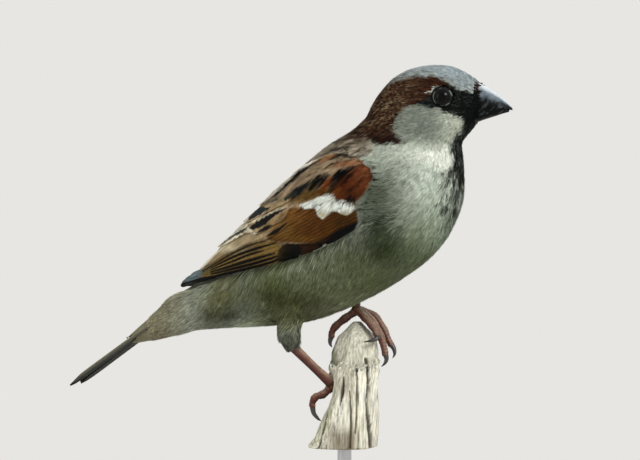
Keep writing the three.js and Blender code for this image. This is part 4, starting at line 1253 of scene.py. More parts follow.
def edgeHue(line, verts, draw):  # the body's colour, darkened as painted shade in the hollow before the wing, for feathers that reach over the wing
    base = plumage(line[:, 2])[:, None, None, :]
    shade = stripShade(0.7, 0.86, 0.96) * draw.normal(1, 0.15, verts.shape[:2])[..., None, None]
    return np.clip(base * shade, 0.002, 0.92)


def addSoft(name, tree, side, feathers, material, seed, lift, barbs=34, hue=softHue):
    draw = np.random.default_rng(seed)
    allVerts, allColours, allUvs = [], [], []
    for order, (root, tip, width) in enumerate(feathers):
        t = np.linspace(0, 1, 5)[:, None]
        spots = np.array(root) + (np.array(tip) - np.array(root)) * t
        line, facing = castSide(tree, side, spots)
        line, facing = softened(line, 2)[None], unit(softened(facing, 4))[None]
        height = np.array([lift + 0.03 * (order % 12)])
        verts, along = fanFeathers(line, facing, np.array([width]), height, barbs, 0.14, draw)
        allVerts.append(verts)
        allColours.append(hue(line, verts, draw))
        allUvs.append(rootPatches(line[:, 0], barbs, verts, along))
    mesh = stripMesh(name, np.concatenate(allVerts))
    setColours(mesh, np.concatenate([c.reshape(-1, 3) for c in allColours]))
    addUv(mesh, np.concatenate(allUvs))
    return addObject(name, mesh, material)


print("wing coverts")
for side in bothSides:
    for seed, (name, feathers) in enumerate(softFeathers.items()):
        addSoft(name.format(side), outerTree, side, feathers, wingCoat, 70 + seed, 1.1)

# feathers of the breast's side that reach over the front of the wing

fringe = {
    "roots": [(17, 22.6), (19.4, 19.6), (19.6, 16), (18.8, 12.6), (17.6, 9.4), (16.6, 6), (15.4, 2.4),
              (12.4, -1.4), (9.4, -4)],
    "tips": [(12.6, 21.4), (14.6, 19.2), (15.2, 15.8), (13.8, 12.4), (11.8, 9.2), (10.8, 6), (9.6, 2.8),
             (7.6, -0.4), (4.6, -2.8)],
    "count": 110, "width": (0.7, 1.3), "barbs": 9, "lift": 0.45,
}


def fringeFeathers(seed):
    draw = np.random.default_rng(seed)
    t = np.linspace(0, 1, fringe["count"])
    roots = through(fringe["roots"], t) + draw.normal(0, 0.7, (fringe["count"], 2))
    tips = through(fringe["tips"], t) + draw.normal(0, 0.7, (fringe["count"], 2))
    return list(zip(roots, tips, draw.uniform(*fringe["width"], fringe["count"])))


for side in bothSides:
    addSoft(f"breast_fringe_{side}", outerTree, side, fringeFeathers(75), bodyCoat, 76,
            fringe["lift"], fringe["barbs"], edgeHue)

# small feathers over the front of the wing

lesserArea = [(16, 22), (8, 26), (-2, 23), (-18, 9), (-12, 6.5), (-4, 8), (3, 10), (14, 8.5)]


def wingFlow(points):
    flow = np.tile(unit(np.array([-0.74, 0, -0.68])), (len(points), 1))
    return flow + 0.1 * np.stack([ripple(points, 4, 27), ripple(points, 4, 28), ripple(points, 4, 29)], 1)


def wingSize(points):
    one = np.ones(len(points))
    return 3.2 * one, 1.2 * one, 0.7 * one


def wingRoots(side, spacing, seed):
    roots = scatter(wingMesh[side], spacing, seed)
    p, q = sidePlace(roots)
    roots = roots[depthInside(p, q, lesserArea) > 0]
    _, normals = nearestOn(wingTree[side], roots)
    out = np.array([0.3, -1 if side == "right" else 1, 0.5])
    return roots[(normals @ out) > 0.1]


print("lesser coverts")
# the light line under the wing's lower edge
paleEdge = [((7.2, -2.4), (2.4, -4.2), 0.7), ((4.2, -3.4), (-0.8, -5.2), 0.7)]
for side in bothSides:
    addSoft(f"wing_{side}_line", outerTree, side, paleEdge, wingCoat, 77, 0.9, 9, paleHue)
    roots = wingRoots(side, 0.52, 81)
    coatPiece(f"wing_{side}_lesser", wingTree[side], roots, wingFlow, Size(9, 0.35, wingSize), wingCoat,
              82, softHue)
    print("  roots", len(roots))

# tail

tail = {"root": (-47, 0, 79.5), "slope": 35.2, "length": 42.5, "pairs": 6, "wide": 5.7, "rows": 44,
        "fan": 0.6, "spacing": 0.35, "step": 0.24, "notch": 0.4, "point": 0.86, "tilt": 0.04, "camber": 0.3,
        "thick": 0.2, "paler": (1.0, 0.7, 0.35, 0.1, 0, 0)}
tailHues = {"centre": paint(38, 42, 36), "edge": paint(138, 132, 112), "top": paint(146, 142, 124)}


def tailHue(across, along, top):
    t = along / along.max()
    colour = blend(tailHues["centre"], tailHues["top"], top)
    colour = blend(colour, tailHues["edge"], smoothStep(across, 0.78, 0.9)[..., None] * (0.4 + 0.6 * top))
    return colour * (1 - 0.25 * smoothStep(t, 0.85, 1.0))[..., None]


def addTail():
    draw = np.random.default_rng(91)
    slope = math.radians(tail["slope"])
    back = np.array([-math.cos(slope), 0, -math.sin(slope)])
    high = np.array([-math.sin(slope), 0, math.cos(slope)])
    grids, colours, acrosses, alongs = [], [], [], []
    for pair in reversed(range(tail["pairs"])):
        for side in (-1, 1):
            angle = math.radians((pair + 0.4) * tail["fan"]) * side
            ahead = back * math.cos(angle) + np.array([0, 1, 0]) * math.sin(angle)
            t = np.linspace(0, 1, tail["rows"])[:, None]
            length = tail["length"] - tail["notch"] * (tail["pairs"] - 1 - pair)
            start = np.array(tail["root"]) + np.array([0, side * (pair + 0.3) * tail["spacing"], 0])
            axis = start - high * pair * tail["step"] + ahead * length * t
            up = np.tile(high, (tail["rows"], 1))
            beside = unit(np.cross(up, np.tile(ahead, (tail["rows"], 1))))
            flip = 1 if beside[0, 1] * side > 0 else -1
            half = tail["wide"] * 0.5
            grid, across, along, _ = vane(axis, up, beside * flip, half, half, tail["point"], 0, tail["tilt"],
                                          tail["camber"], None, draw)
            grids.append(grid[:, ::flip])
            colours.append(tailHue(across, along, tail["paler"][pair])[:, ::flip])
            acrosses.append(across[:, ::flip])
            alongs.append(along)
    mesh = vaneMesh("tail_feathers", grids, colours, acrosses, alongs)
    piece = addObject("tail_feathers", mesh, vaneCoat, ["tail"])
    thicken(piece, tail["thick"])


print("tail")
addTail()

# bill

bill = {
    "upper": [(38.0, 142.6, 134.6, 4.3), (40.2, 141.9, 134.65, 4.0), (42.8, 140.6, 134.75, 3.6),
              (45.4, 139.1, 134.7, 2.95), (47.6, 137.5, 134.5, 2.1), (49.4, 135.9, 134.2, 1.15),
              (50.6, 134.45, 133.95, 0.2)],
    "lower": [(38.0, 134.75, 129.8, 4.1), (40.2, 134.7, 130.5, 3.8), (42.8, 134.8, 131.4, 3.4),
              (45.4, 134.75, 132.2, 2.75), (47.6, 134.55, 132.9, 1.9), (49.6, 134.1, 133.45, 0.5)],
    "sides": 40,
    "rings": 48,
    "nostril": {"at": (42.4, 138.4), "radius": 0.6, "depth": 0.45},
    "gape": 134.65,
}
# the ridge hue is a painted highlight along the top of the upper bill, and the pale fleck hue a painted sheen
# on the black horn
billHues = {"black": paint(5, 7, 7), "sheenFleck": paint(70, 78, 78), "slate": paint(104, 114, 122),
            "ridge": paint(206, 214, 218), "tip": paint(150, 140, 120)}


def loft(name, rings, along):  # one ring drawn out through a row of places, closed at both ends
    bm = bmesh.new()
    seat, reach = bm.verts.layers.float.new("seat"), bm.verts.layers.float.new("reach")
    first = bmesh.ops.create_circle(bm, segments=len(rings[0]), radius=1)["verts"]
    for i, vert in enumerate(first):
        vert[seat], vert.co = i, Vector(rings[0][i]) * mm
    edges = ends = bm.edges[:]
    for places, far in zip(rings[1:], along[1:]):
        made = bmesh.ops.extrude_edge_only(bm, edges=edges)["geom"]
        fresh = {g for g in made if isinstance(g, bmesh.types.BMVert)}
        for vert in fresh:
            vert.co, vert[reach] = Vector(places[round(vert[seat])]) * mm, far
        edges = [g for g in made if isinstance(g, bmesh.types.BMEdge) and set(g.verts) <= fresh]
    bmesh.ops.holes_fill(bm, edges=list(ends) + edges, sides=len(rings[0]))
    return finishBmesh(bm, name)


def billRings(stations, isUpper):
    t = np.linspace(0, 1, bill["rings"])
    t = 1 - (1 - t) ** 1.25
    x, top, bottom, wide = through(stations, t).T
    angle = np.linspace(0, 2 * math.pi, bill["sides"], endpoint=False)
    up, out = np.cos(angle), np.sin(angle)
    edge, far = (bottom, top) if isUpper else (top, bottom)
    outward = up if isUpper else -up
    rise = np.where(outward > 0, np.abs(outward) ** 1.12, -0.03)  # a rounded ridge over a flat edge
    z = edge[:, None] + (far - edge)[:, None] * rise[None]
    y = wide[:, None] * (1.0 if isUpper else 0.97) * np.sign(out) * np.abs(out) ** 0.86
    return np.stack([np.broadcast_to(x[:, None], y.shape), y, z], -1), x


def billMaterial():
    finish = Finish("billHorn", roughness=0.4, specular=0.08)
    tone = finish.attribute("plumage")
    flakes = finish.noise(finish.place((1, 2.2, 1.6)), 420, 4)
    fine = finish.noise(finish.place(), 1600, 3)
    shade = 0.82 + flakes * 0.36
    colour = finish.shaded(tone, shade)
    normal = finish.bump(flakes + fine * 0.4, 0.35, 0.1)
    return finish.wear(colour=colour, roughness=0.34 + flakes * 0.22, normal=normal)


def billHue(places):
    x, z = places[:, 0], places[:, 2]
    ridge = np.interp(x, *np.array(bill["upper"]).T[:2])
    mottled = 0.5 * ripple(places, 0.8, 97)
    height = (z - bill["gape"]) / np.maximum(ridge - bill["gape"], 0.3)
    level = height + 0.14 * mottled + 0.05 * np.sin(x * 1.4)
    # pale flecks over the black horn and along the gape are painted sheen; the same flecks darken the slate
    flecks = smoothStep(ripple(places * [0.5, 1, 1], 0.34, 98), 0.4, 0.8)
    gape = np.exp(-((z - bill["gape"] - 0.15) / 0.16) ** 2) * smoothStep(x, 51, 48)
    horn = tint(billHues["black"], billHues["sheenFleck"], np.maximum(flecks * 0.5, gape * flecks))
    slate = np.array(billHues["slate"]) * (1 - 0.3 * flecks)[:, None]
    horn = tint(horn, slate, smoothStep(level, 0.4, 0.72))
    # a painted highlight along the top of the upper bill
    horn = tint(horn, billHues["ridge"], smoothStep(height + 0.06 * mottled, 0.78, 0.95) * 0.9)
    return tint(horn, billHues["tip"], smoothStep(x, 51.4, 52.6) * 0.7)


def addBill():
    material, nostril = billMaterial(), bill["nostril"]
    for part in ("upper", "lower"):
        rings, x = billRings(bill[part], part == "upper")
        mesh = loft(f"bill_{part}_horn", rings, x)
        places = coordsOf(mesh)
        if part == "upper":
            for side in (-1, 1):
                hole = np.hypot(places[:, 0] - nostril["at"][0], (places[:, 2] - nostril["at"][1]) * 1.3)
                deep = np.exp(-(hole / nostril["radius"]) ** 2) * (places[:, 1] * side > 0)
                places[:, 1] -= side * deep * nostril["depth"]
        setCoords(mesh, places)
        setColours(mesh, billHue(places))
        addObject(mesh.name, mesh, material, [f"bill_{part}"])


bristles = {"count": 64, "barbs": 7, "lift": 0.22, "width": (0.5, 0.9),
            "roots": [(43.4, 41.9), (43.0, 39.5), (42.6, 36.5), (42.4, 33.5), (43.0, 31.4)],
            "tips": [(45.4, 41.4), (46.0, 39.2), (45.9, 36.4), (45.4, 34.2), (45.8, 32.2)],
            "dark": paint(9, 11, 11), "rusty": paint(44, 26, 20)}


def bristleHue(line, verts, draw):
    high = smoothStep(line[:, 0, 2], 138.5, 141.5)[:, None, None, None]
    tone = blend(bristles["dark"], bristles["rusty"], high)
    shade = draw.normal(1, 0.2, verts.shape[:2])[..., None, None] * np.ones(verts.shape)
    return np.clip(tone * shade, 0.002, 0.9)


def addBristles(side, tree):  # short feathers that point forward over the root of the bill
    draw = np.random.default_rng(78)
    t = np.linspace(0, 1, bristles["count"])
    roots = through(bristles["roots"], t) + draw.normal(0, 0.25, (len(t), 2))
    tips = through(bristles["tips"], t) + draw.normal(0, 0.35, (len(t), 2))
    feathers = list(zip(roots, tips, draw.uniform(*bristles["width"], len(t))))
    addSoft(f"bristles_{side}", tree, side, feathers, headCoat, 79, bristles["lift"],
            bristles["barbs"], bristleHue)


print("bill")
addBill()
billTree = joinedTree([skinMesh, *(bpy.data.meshes[f"bill_{part}_horn"] for part in ("upper", "lower"))])
for side in bothSides:
    addBristles(side, billTree)

# eyes

eye = {"radius": 2.98, "turn": 0.20, "lift": 0.04, "opening": 1.78, "stretch": 0.06, "steepest": 0.93,
       "ballSides": 48, "ballRings": 32, "lidSides": 64,
       # the lid's profile: how far out from the opening, and how high over the ball
       "lid": [(0, 0.0), (0.05, 0.14), (0.2, 0.2), (0.42, 0.1), (0.62, 0.22), (0.82, 0.22), (1.0, 0.05),
               (1.1, -0.5)]}


def eyeMaterial():
    finish = Finish("eyeDark", roughness=0.06, specular=0.1)
    ring = finish.attribute("ring", "Fac")
    rays = finish.noise(finish.place(), 900, 3)
    iris = finish.mix(rays, paint(9, 6, 5), paint(22, 15, 11))
    colour = finish.mix(ring.step(1.15, 1.35), paint(2, 2, 3), iris)
    return finish.wear(colour=colour)


def lidMaterial():
    finish = Finish("eyeLid", roughness=0.6, specular=0.15)
    ring = finish.attribute("ring", "Fac")
    beads = finish.noise(finish.place(), 1500, 2)
    gaps = finish.noise(finish.place(), 420, 1)
    dark, pale = paint(8, 10, 10), paint(118, 128, 124)
    # a pale beaded rim round the opening, partly the lid's own pale edge and partly painted glint
    rim = ring.step(2.3, 2.4) * (1 - ring.step(2.58, 2.7))
    rim = rim * (0.35 + 0.65 * beads.step(0.34, 0.56)) * gaps.step(0.4, 0.56)
    return finish.wear(colour=finish.mix(rim * 0.85, dark, pale), normal=finish.bump(beads, 0.4, 0.08))


def seated(bm, seat, name, stretch=0):  # notes each place's distance from the eye's axis, and seats the mesh
    ring = bm.verts.layers.float.new("ring")
    for vert in bm.verts:
        vert[ring] = math.hypot(vert.co.x, vert.co.y)
        if stretch:
            vert.co.x *= 1 + stretch * abs(vert.co.x) / vert[ring]
    bmesh.ops.transform(bm, matrix=seat, verts=bm.verts)
    return finishBmesh(bm, name)


def addEyes():
    ballFinish, lidFinish, radius = eyeMaterial(), lidMaterial(), eye["radius"]
    for side, name in ((-1, "right"), (1, "left")):
        axis = Vector((eye["turn"], side, eye["lift"])).normalized()
        turned = axis.to_track_quat("Z", "Y").to_matrix().to_4x4()
        centre = Vector((eyeAt[0], side * eyeAt[1], eyeAt[2]))
        seat = Matrix.Translation(centre * mm) @ turned @ Matrix.Scale(mm, 4)
        bm = bmesh.new()
        bmesh.ops.create_uvsphere(bm, u_segments=eye["ballSides"], v_segments=eye["ballRings"], radius=radius)
        mesh = seated(bm, seat, f"eye_{name}_ball")
        addObject(mesh.name, mesh, ballFinish, [f"eye_{name}"])
        bm = bmesh.new()  # the lid: a profile turned round the eye, lying on the ball
        line = []
        for out, high in eye["lid"]:
            out = eye["opening"] + out
            ball = math.sqrt(radius ** 2 - min(out, radius * eye["steepest"]) ** 2)
            line.append(bm.verts.new((out, 0, ball + high)))
        edges = [bm.edges.new(pair) for pair in zip(line, line[1:])]
        bmesh.ops.spin(bm, geom=line + edges, cent=(0, 0, 0), axis=(0, 0, 1), angle=2 * math.pi,
                       steps=eye["lidSides"], use_merge=True)
        mesh = seated(bm, seat, f"eye_{name}_lid", eye["stretch"])
        addObject(mesh.name, mesh, lidFinish)


print("eyes")
addEyes()

# legs and feet

limbs = {
    "right": {
        "tarsus": {"path": [(-12.5, -9.2, 68.4), (-10.1, -7.9, 65.6), (-6, -3.9, 60.4), (-2.7, -0.3, 56.3)],
                   "radii": (1.5, 1.25, 1.15, 1.4)},
        "palm": {"at": (-2.7, 0.2, 55.2), "radius": 1.5},
        "hallux": {"path": [(-3, -0.3, 54.6), (-4.8, -0.8, 53.0), (-6.9, -1, 52.2), (-7.9, -1, 50.6),
                            (-8, -0.9, 49.3)],
                   "claw": [(-8, -0.9, 49.8), (-7.6, -0.9, 47.6), (-6.4, -0.7, 46.0), (-5.4, -0.6, 45.3)]},
        "inner": {"path": [(-3.2, 2.0, 55.0), (-3.1, 4.6, 54.2), (-1.9, 7.0, 52.9), (-0.4, 8.6, 51.9),
                           (1.4, 9.6, 51)],
                  "claw": [(1.0, 9.5, 51.1), (2.6, 10.2, 50.6), (3.9, 10.0, 49.8), (4.6, 9.2, 49.4)]},
        "middle": {"path": [(-3.2, 1.6, 55.8), (-2.9, 5.8, 56.2), (-0.6, 8.6, 55.5), (2.1, 9.9, 55),
                            (5.2, 10, 54.6)],
                   "claw": [(4.8, 10.0, 54.7), (6.6, 9.9, 54.3), (7.8, 8.9, 53.7), (8.2, 7.7, 53.4)]},
        "outer": {"path": [(-3.3, 1.8, 56.6), (-3.7, 5.5, 58.3), (-2.5, 7.8, 58.9), (-1.1, 9.1, 59.3),
                           (0.8, 9.9, 59.8)],
                  "claw": [(0.4, 9.8, 59.7), (2.2, 10.5, 59.8), (3.5, 10.1, 59.6), (4.3, 9.2, 59.4)]},
    },
    "left": {
        "tarsus": {"path": [(-2.6, 8.4, 87), (0.6, 7, 82.2), (3.1, 5.6, 78)], "radii": (1.4, 1.2, 1.3)},
        "palm": {"at": (3.4, 5.3, 76.9), "radius": 1.55},
        "hallux": {"path": [(2.9, 5.1, 76.4), (-0.5, 4.6, 74), (-2.8, 4.3, 72), (-3.8, 4.2, 70.3),
                            (-3.9, 4.2, 68.9)],
                   "claw": [(-3.9, 4.2, 69.3), (-4.3, 4.15, 68), (-4.2, 4.1, 66.9), (-3.6, 4, 66.1)]},
        "inner": {"path": [(3.9, 4.6, 76.7), (7.2, 2.5, 74.3), (9.7, 1.2, 71.9), (11, 0.4, 69.7)],
                  "claw": [(10.9, 0.5, 70.1), (11, -0.5, 69.2), (9.6, -1.4, 68.6), (7.5, -1.8, 68.2)]},
        "middle": {"path": [(4.2, 5.3, 76.7), (7.8, 4.6, 74.2), (10.6, 3.8, 70.4), (12.2, 3.1, 66.2),
                            (12.6, 2.9, 64.2)],
                   "claw": [(12.6, 2.9, 64.6), (13, 2.7, 63.2), (12.6, 2.5, 62), (11.6, 2.2, 61)]},
        "outer": {"path": [(4, 6.2, 76.8), (7.6, 7.8, 75.2), (10.3, 7.6, 72), (12.1, 7.2, 68.6),
                           (13.2, 7, 66.7)],
                  "claw": [(13.1, 7, 67.1), (14, 6.8, 65.8), (14.3, 6.4, 64.4), (13.8, 6, 63.2)]},
    },
    "shank": {"rings": 46, "sides": 24, "flat": 1.12, "every": 2.1, "scute": 0.05},
    "toe": {"radii": (1.2, 1.12, 1.02, 0.85), "rings": 64, "sides": 20, "flat": 1, "joints": 3,
            "swell": 0.072, "scute": 0.12, "every": 0.95},
    "claw": {"radii": (0.72, 0.55, 0.36, 0.06), "rings": 28, "sides": 14, "flat": 1.2},
}
# the top hue is a painted highlight on faces turned up towards the lamps, the sole hue painted shade
# underneath
legHues = {"top": paint(186, 160, 134), "side": paint(84, 35, 16), "shadedUnderside": paint(34, 15, 6),
           "shank": paint(92, 46, 36)}


def sweep(path, radii, kind, shape=None):  # rings along a smooth path, without twist
    rings, sides = kind["rings"], kind["sides"]
    t = np.linspace(0, 1, rings)
    line = through(path, t)
    ahead = unit(np.gradient(line, axis=0))
    length = np.concatenate([[0], np.cumsum(np.linalg.norm(np.diff(line, axis=0), axis=1))])
    girth = through(radii, t)[:, 0]
    angle = np.linspace(0, 2 * math.pi, sides, endpoint=False)
    level = ahead[rings // 2]
    across = np.cross(level, [0, 0, 1]) if abs(level[2]) < 0.9 else np.array([0.0, 1.0, 0.0])
    made = []
    for k in range(rings):
        across = unit(across - (across @ ahead[k]) * ahead[k])
        upward = unit(np.cross(across, ahead[k]))
        reach = np.full(sides, girth[k])
        if shape:
            reach = reach * shape(length[k], length[-1], angle)
        ring = np.outer(np.cos(angle) * reach, across)
        ring = ring + np.outer(np.sin(angle) * reach * kind["flat"], upward)
        made.append(line[k] + ring)
    return made, length


def scutes(length, total, angle):  # overlapping plates on the upper side, and a swelling at each joint
    toe = limbs["toe"]
    plate = (length / toe["every"]) % 1
    upper = smoothStep(np.abs(np.sin(angle)), 0.1, 0.6)
    swell = toe["swell"] * math.cos(2 * math.pi * toe["joints"] * length / total)
    return 1 + swell + toe["scute"] * (plate - 0.5) * upper


def shankPlates(length, total, angle):
    plate = (length / limbs["shank"]["every"]) % 1
    return 1 + limbs["shank"]["scute"] * (plate - 0.5) * smoothStep(np.sin(angle), 0, 0.7)


def legMaterial():
    finish = Finish("legScales", roughness=0.45, specular=0.45)
    tone = finish.attribute("plumage")
    values = {"Vector": finish.place(), "Scale": 1500}
    scales = finish.node("TexVoronoi", {"feature": "DISTANCE_TO_EDGE"}, values)
    blotch = finish.noise(finish.place(), 420, 3)
    shade = 0.78 + scales.step(0.0, 0.22) * 0.24 + (blotch - 0.5) * 0.4
    colour = finish.shaded(tone, shade)
    normal = finish.bump(scales.step(0, 0.2), 0.5, 0.06)
    return finish.wear(colour=colour, roughness=0.36 + blotch * 0.25, normal=normal)


def clawMaterial():
    finish = Finish("clawHorn", roughness=0.3, specular=0.5)
    streaks = finish.noise(finish.place(), 700, 3)
    colour = finish.mix(streaks, paint(30, 30, 31), paint(74, 70, 68))
    return finish.wear(colour=colour, roughness=0.22 + streaks * 0.2)


def toneLeg(mesh, isShank):
    places, normals = coordsOf(mesh), normalsOf(mesh)
    # paler where facing up towards the lamps: painted highlight; darker where facing down: painted shade
    high = smoothStep(normals @ unit(np.array([0.3, -0.2, 0.9])), -0.2, 0.8)
    low = smoothStep(normals[:, 2], -0.2, -0.8)
    ground = legHues["shank" if isShank else "side"]
    tone = tint(ground, legHues["top"], high ** 3 * (0.6 if isShank else 0.4))
    tone = tint(tone, legHues["shadedUnderside"], low * (0.5 if isShank else 0.9))
    setColours(mesh, tone * (1 + 0.16 * ripple(places, 0.8, 93)[:, None]))


def addFeet():
    skinHorn, horn = legMaterial(), clawMaterial()
    for side in bothSides:
        leg = limbs[side]
        rings, length = sweep(leg["tarsus"]["path"], leg["tarsus"]["radii"], limbs["shank"], shankPlates)
        mesh = loft(f"shank_{side}", rings, length)
        toneLeg(mesh, True)
        addObject(mesh.name, mesh, skinHorn, [f"tarsus_{side}"])
        bm = bmesh.new()
        bmesh.ops.create_icosphere(bm, subdivisions=4, radius=leg["palm"]["radius"] * mm,
                                   matrix=Matrix.Translation(Vector(leg["palm"]["at"]) * mm))
        for vert in bm.verts:
            vert.co += vert.normal * noise.noise(vert.co / mm * 1.3) * 0.22 * mm
        mesh = finishBmesh(bm, f"palm_{side}")
        toneLeg(mesh, False)
        addObject(mesh.name, mesh, skinHorn)
        for toe in ("hallux", "inner", "middle", "outer"):
            rings, length = sweep(leg[toe]["path"], limbs["toe"]["radii"], limbs["toe"], scutes)
            mesh = loft(f"toe_{side}_{toe}_scaled", rings, length)
            toneLeg(mesh, False)
            addObject(mesh.name, mesh, skinHorn, [f"toe_{side}_{toe}"])
            rings, length = sweep(leg[toe]["claw"], limbs["claw"]["radii"], limbs["claw"])
            mesh = loft(f"claw_{side}_{toe}_horn", rings, length)
            addObject(mesh.name, mesh, horn, [f"claw_{side}_{toe}"])


print("legs and feet")
addFeet()

# perch

perch = {"voxel": 0.3, "smoothing": 3, "grain": 0.16, "cracks": 0.7, "long": 0.10, "rim": 61.3,
         "heart": (2, 0.6), "foot": 38}
woodHues = {"bleached": paint(240, 236, 216), "grey": paint(186, 180, 158), "green": paint(196, 198, 160),
            "core": paint(214, 211, 192), "shade": paint(116, 116, 94), "crack": paint(52, 42, 30),
            "brown": paint(104, 88, 62), "cut": paint(190, 168, 128), "ring": paint(150, 122, 84)}
perchCracks = [  # long splits on the side towards the front right: path and widths
    ([(13.2, -36.8), (13.9, -44), (13.4, -50), (14.2, -57), (14.9, -68)], (0.6, 1.0, 0.6, 1.1, 0.6)),
    ([(6.6, -42), (6.3, -45.5), (5.6, -50)], (0.4, 0.9, 0.3)),
    ([(10.2, -38.2), (10.6, -47), (10.0, -58)], (0.3, 0.45, 0.2)),
    ([(2.6, -50), (0.6, -58), (-1.8, -66)], (0.2, 0.5, 0.3)),
    ([(8.4, -46), (8.8, -56), (8.2, -68)], (0.2, 0.45, 0.3)),
]


def fibres(points, scale, long, shift):  # noise drawn out along the branch
    spots = points * [scale, scale, scale * long] + [shift, 0, shift]
    return np.array([noise.noise(Vector(spot)) for spot in spots])


def woodMaterial():
    finish = Finish("weatheredWood", roughness=0.85, specular=0.25)
    colour = finish.attribute("plumage")
    hair = finish.noise(finish.place((1, 1, 0.1)), 1500, 6)
    dust = finish.noise(finish.place(), 900, 3)
    shade = 0.60 + hair.step(0.34, 0.62) * 0.48 + (dust - 0.5) * 0.16
    return finish.wear(colour=finish.shaded(colour, shade), roughness=0.74 + dust * 0.2,
                       normal=finish.bump(hair, 0.7, 0.25))


def addPerch():
    mesh = remeshed(joinedNodes(["perch"]), "perch_wood", perch["voxel"], perch["smoothing"])
    places, normals = coordsOf(mesh), normalsOf(mesh)
    lean = places.copy()
    lean[:, 0] -= (places[:, 2] - perch["foot"]) * 0.06
    broad = fibres(lean, 0.45, perch["long"], 0)
    fine = fibres(lean, 2.4, perch["long"] * 0.5, 9)
    slit = fibres(lean, 0.75, perch["long"] * 0.4, 31)
    pores = fibres(lean, 3.0, 0.3, 51)
    bark = smoothStep(np.abs(normals[:, 2]), 0.95, 0.7)
    crack = smoothStep(np.abs(slit), 0.03, 0.006) * smoothStep(broad, 0.0, 0.25) * bark * 0.35
    p, q = viewPlace(places)
    p = p + 0.25 * fine
    facing = smoothStep(normals @ viewBack, 0.0, 0.25)
    for path, widths in perchCracks:
        crack = np.maximum(crack, smoothStep(strokeDepth(p, q, path, widths), -0.2, 0.15) * facing)

    # the broken rim of the bark, with the bare core above it
    fromHeart = places[:, :2] - np.array(perch["heart"])
    about = np.arctan2(fromHeart[:, 1], fromHeart[:, 0])
    rim = perch["rim"] + 0.7 * np.sin(about * 3 + 1) + 0.5 * np.sin(about * 8) + 1.6 * fine
    overRim = places[:, 2] - rim
    inside = smoothStep(overRim, 0.0, 0.3)
    lip = smoothStep(overRim, -1.6, -0.2) * (1 - inside)
    move = perch["grain"] * (0.8 * broad + 0.6 * fine) * bark - perch["cracks"] * crack
    move = move + 0.05 * pores + 0.45 * lip - 0.25 * inside
    setCoords(mesh, places + normals * move[:, None])

    grey = smoothStep(fibres(lean, 0.24, 0.2, 71), 0.05, 0.4)
    green = smoothStep(fibres(lean, 0.3, 0.12, 91), 0.12, 0.4)
    brown = smoothStep(q + 3 * broad + 2 * fine, -54, -60) * smoothStep(p, 1, 4.5) * smoothStep(p, 12, 8)
    tone = np.tile(woodHues["bleached"], (len(places), 1))
    tone = tint(tone, woodHues["grey"], grey * 0.5)
    tone = tint(tone, woodHues["green"], green * 0.5)
    tone = tint(tone, woodHues["brown"], brown * (0.7 + 0.25 * grey))
    core = tint(woodHues["core"], woodHues["shade"], smoothStep(p + q * 0.25, -3.4, -5))
    tone = tint(tone, core, inside * 0.9)
    tone = tint(tone, woodHues["shade"], smoothStep(np.abs(overRim - 0.3), 0.5, 0.1) * 0.5)
    tone = tone * (1 + (0.42 - 0.2 * inside) * fine + 0.16 * pores)[:, None]
    tone = tint(tone, woodHues["crack"], smoothStep(fine, -0.25, -0.55) * 0.3 * (1 - inside))
    # dark in the splits: painted shade in the recesses
    tone = tint(tone, woodHues["crack"], crack * 0.92)
    rings = 0.5 + 0.5 * np.sin(np.hypot(fromHeart[:, 0], fromHeart[:, 1]) * 5.2 + broad * 2)
    atFoot = smoothStep(places[:, 2], perch["foot"] + 1, perch["foot"] + 0.6)
    sawn = smoothStep(normals[:, 2], -0.8, -0.95) * atFoot
    tone = tint(tone, tint(woodHues["cut"], woodHues["ring"], rings), sawn)
    setColours(mesh, np.clip(tone, 0.003, 0.9))
    addObject("perch_wood", mesh, woodMaterial(), ["perch"])


print("perch")
addPerch()

# stand

stand = {
    "outline": [(0, 0.0), (40.2, 0.0), (41.4, 0.5), (42.0, 1.4), (42.0, 5.6), (41.6, 6.8), (40.6, 7.7),
                (39.2, 8.0), (37.6, 7.75), (36.4, 7.75), (35.2, 8.0), (0, 8.0)],
    "rod": {"x": 1.2, "y": 0.4, "radius": 2.0, "from": 4, "to": 44, "chamfer": 0.4},
    "collar": [(2.0, 7.9), (4.6, 7.9), (4.6, 8.7), (4.1, 9.3), (2.6, 9.6), (2.0, 9.6)],
    "sharp": 32,  # edges sharper than this many degrees stay crisp
    "baseSides": 128,
    "rodSides": 40,
    "collarSides": 48,
}


def turnedPiece(name, outline, centre, steps):  # a profile turned round an upright axis
    bm = bmesh.new()
    line = [bm.verts.new((centre[0] + r, centre[1], z)) for r, z in outline]
    edges = [bm.edges.new(pair) for pair in zip(line, line[1:])]
    bmesh.ops.spin(bm, geom=line + edges, cent=(*centre, 0), axis=(0, 0, 1), angle=2 * math.pi, steps=steps,
                   use_merge=True)
    bmesh.ops.remove_doubles(bm, verts=bm.verts, dist=1e-4)
    bmesh.ops.scale(bm, vec=(mm, mm, mm), verts=bm.verts)
    return finishBmesh(bm, name)


def baseMaterial():
    finish = Finish("turnedWood", roughness=0.42, specular=0.4, coat=0.25, coatRoughness=0.25)
    rings = finish.noise(finish.place((1, 9, 9), (0, 0.05, 0.15)), 22, 5, 0.6)
    hair = finish.noise(finish.place((1, 16, 16)), 190, 4)
    stops = [(0.30, paint(72, 44, 26)), (0.52, paint(112, 72, 42)), (0.72, paint(138, 94, 58))]
    colour = finish.node("ValToRGB", {"stops": stops}, {0: rings * 0.75 + hair * 0.25})
    return finish.wear(colour=colour, roughness=0.34 + hair * 0.2, normal=finish.bump(hair, 0.12, 0.1))


def rodMaterial():
    finish = Finish("brushedSteel", roughness=0.32, metallic=1.0)
    lines = finish.noise(finish.place((1, 1, 30)), 260, 3)
    return finish.wear(colour=finish.mix(lines, paint(168, 170, 172), paint(206, 207, 208)),
                       roughness=0.24 + lines * 0.2, normal=finish.bump(lines, 0.15, 0.04))


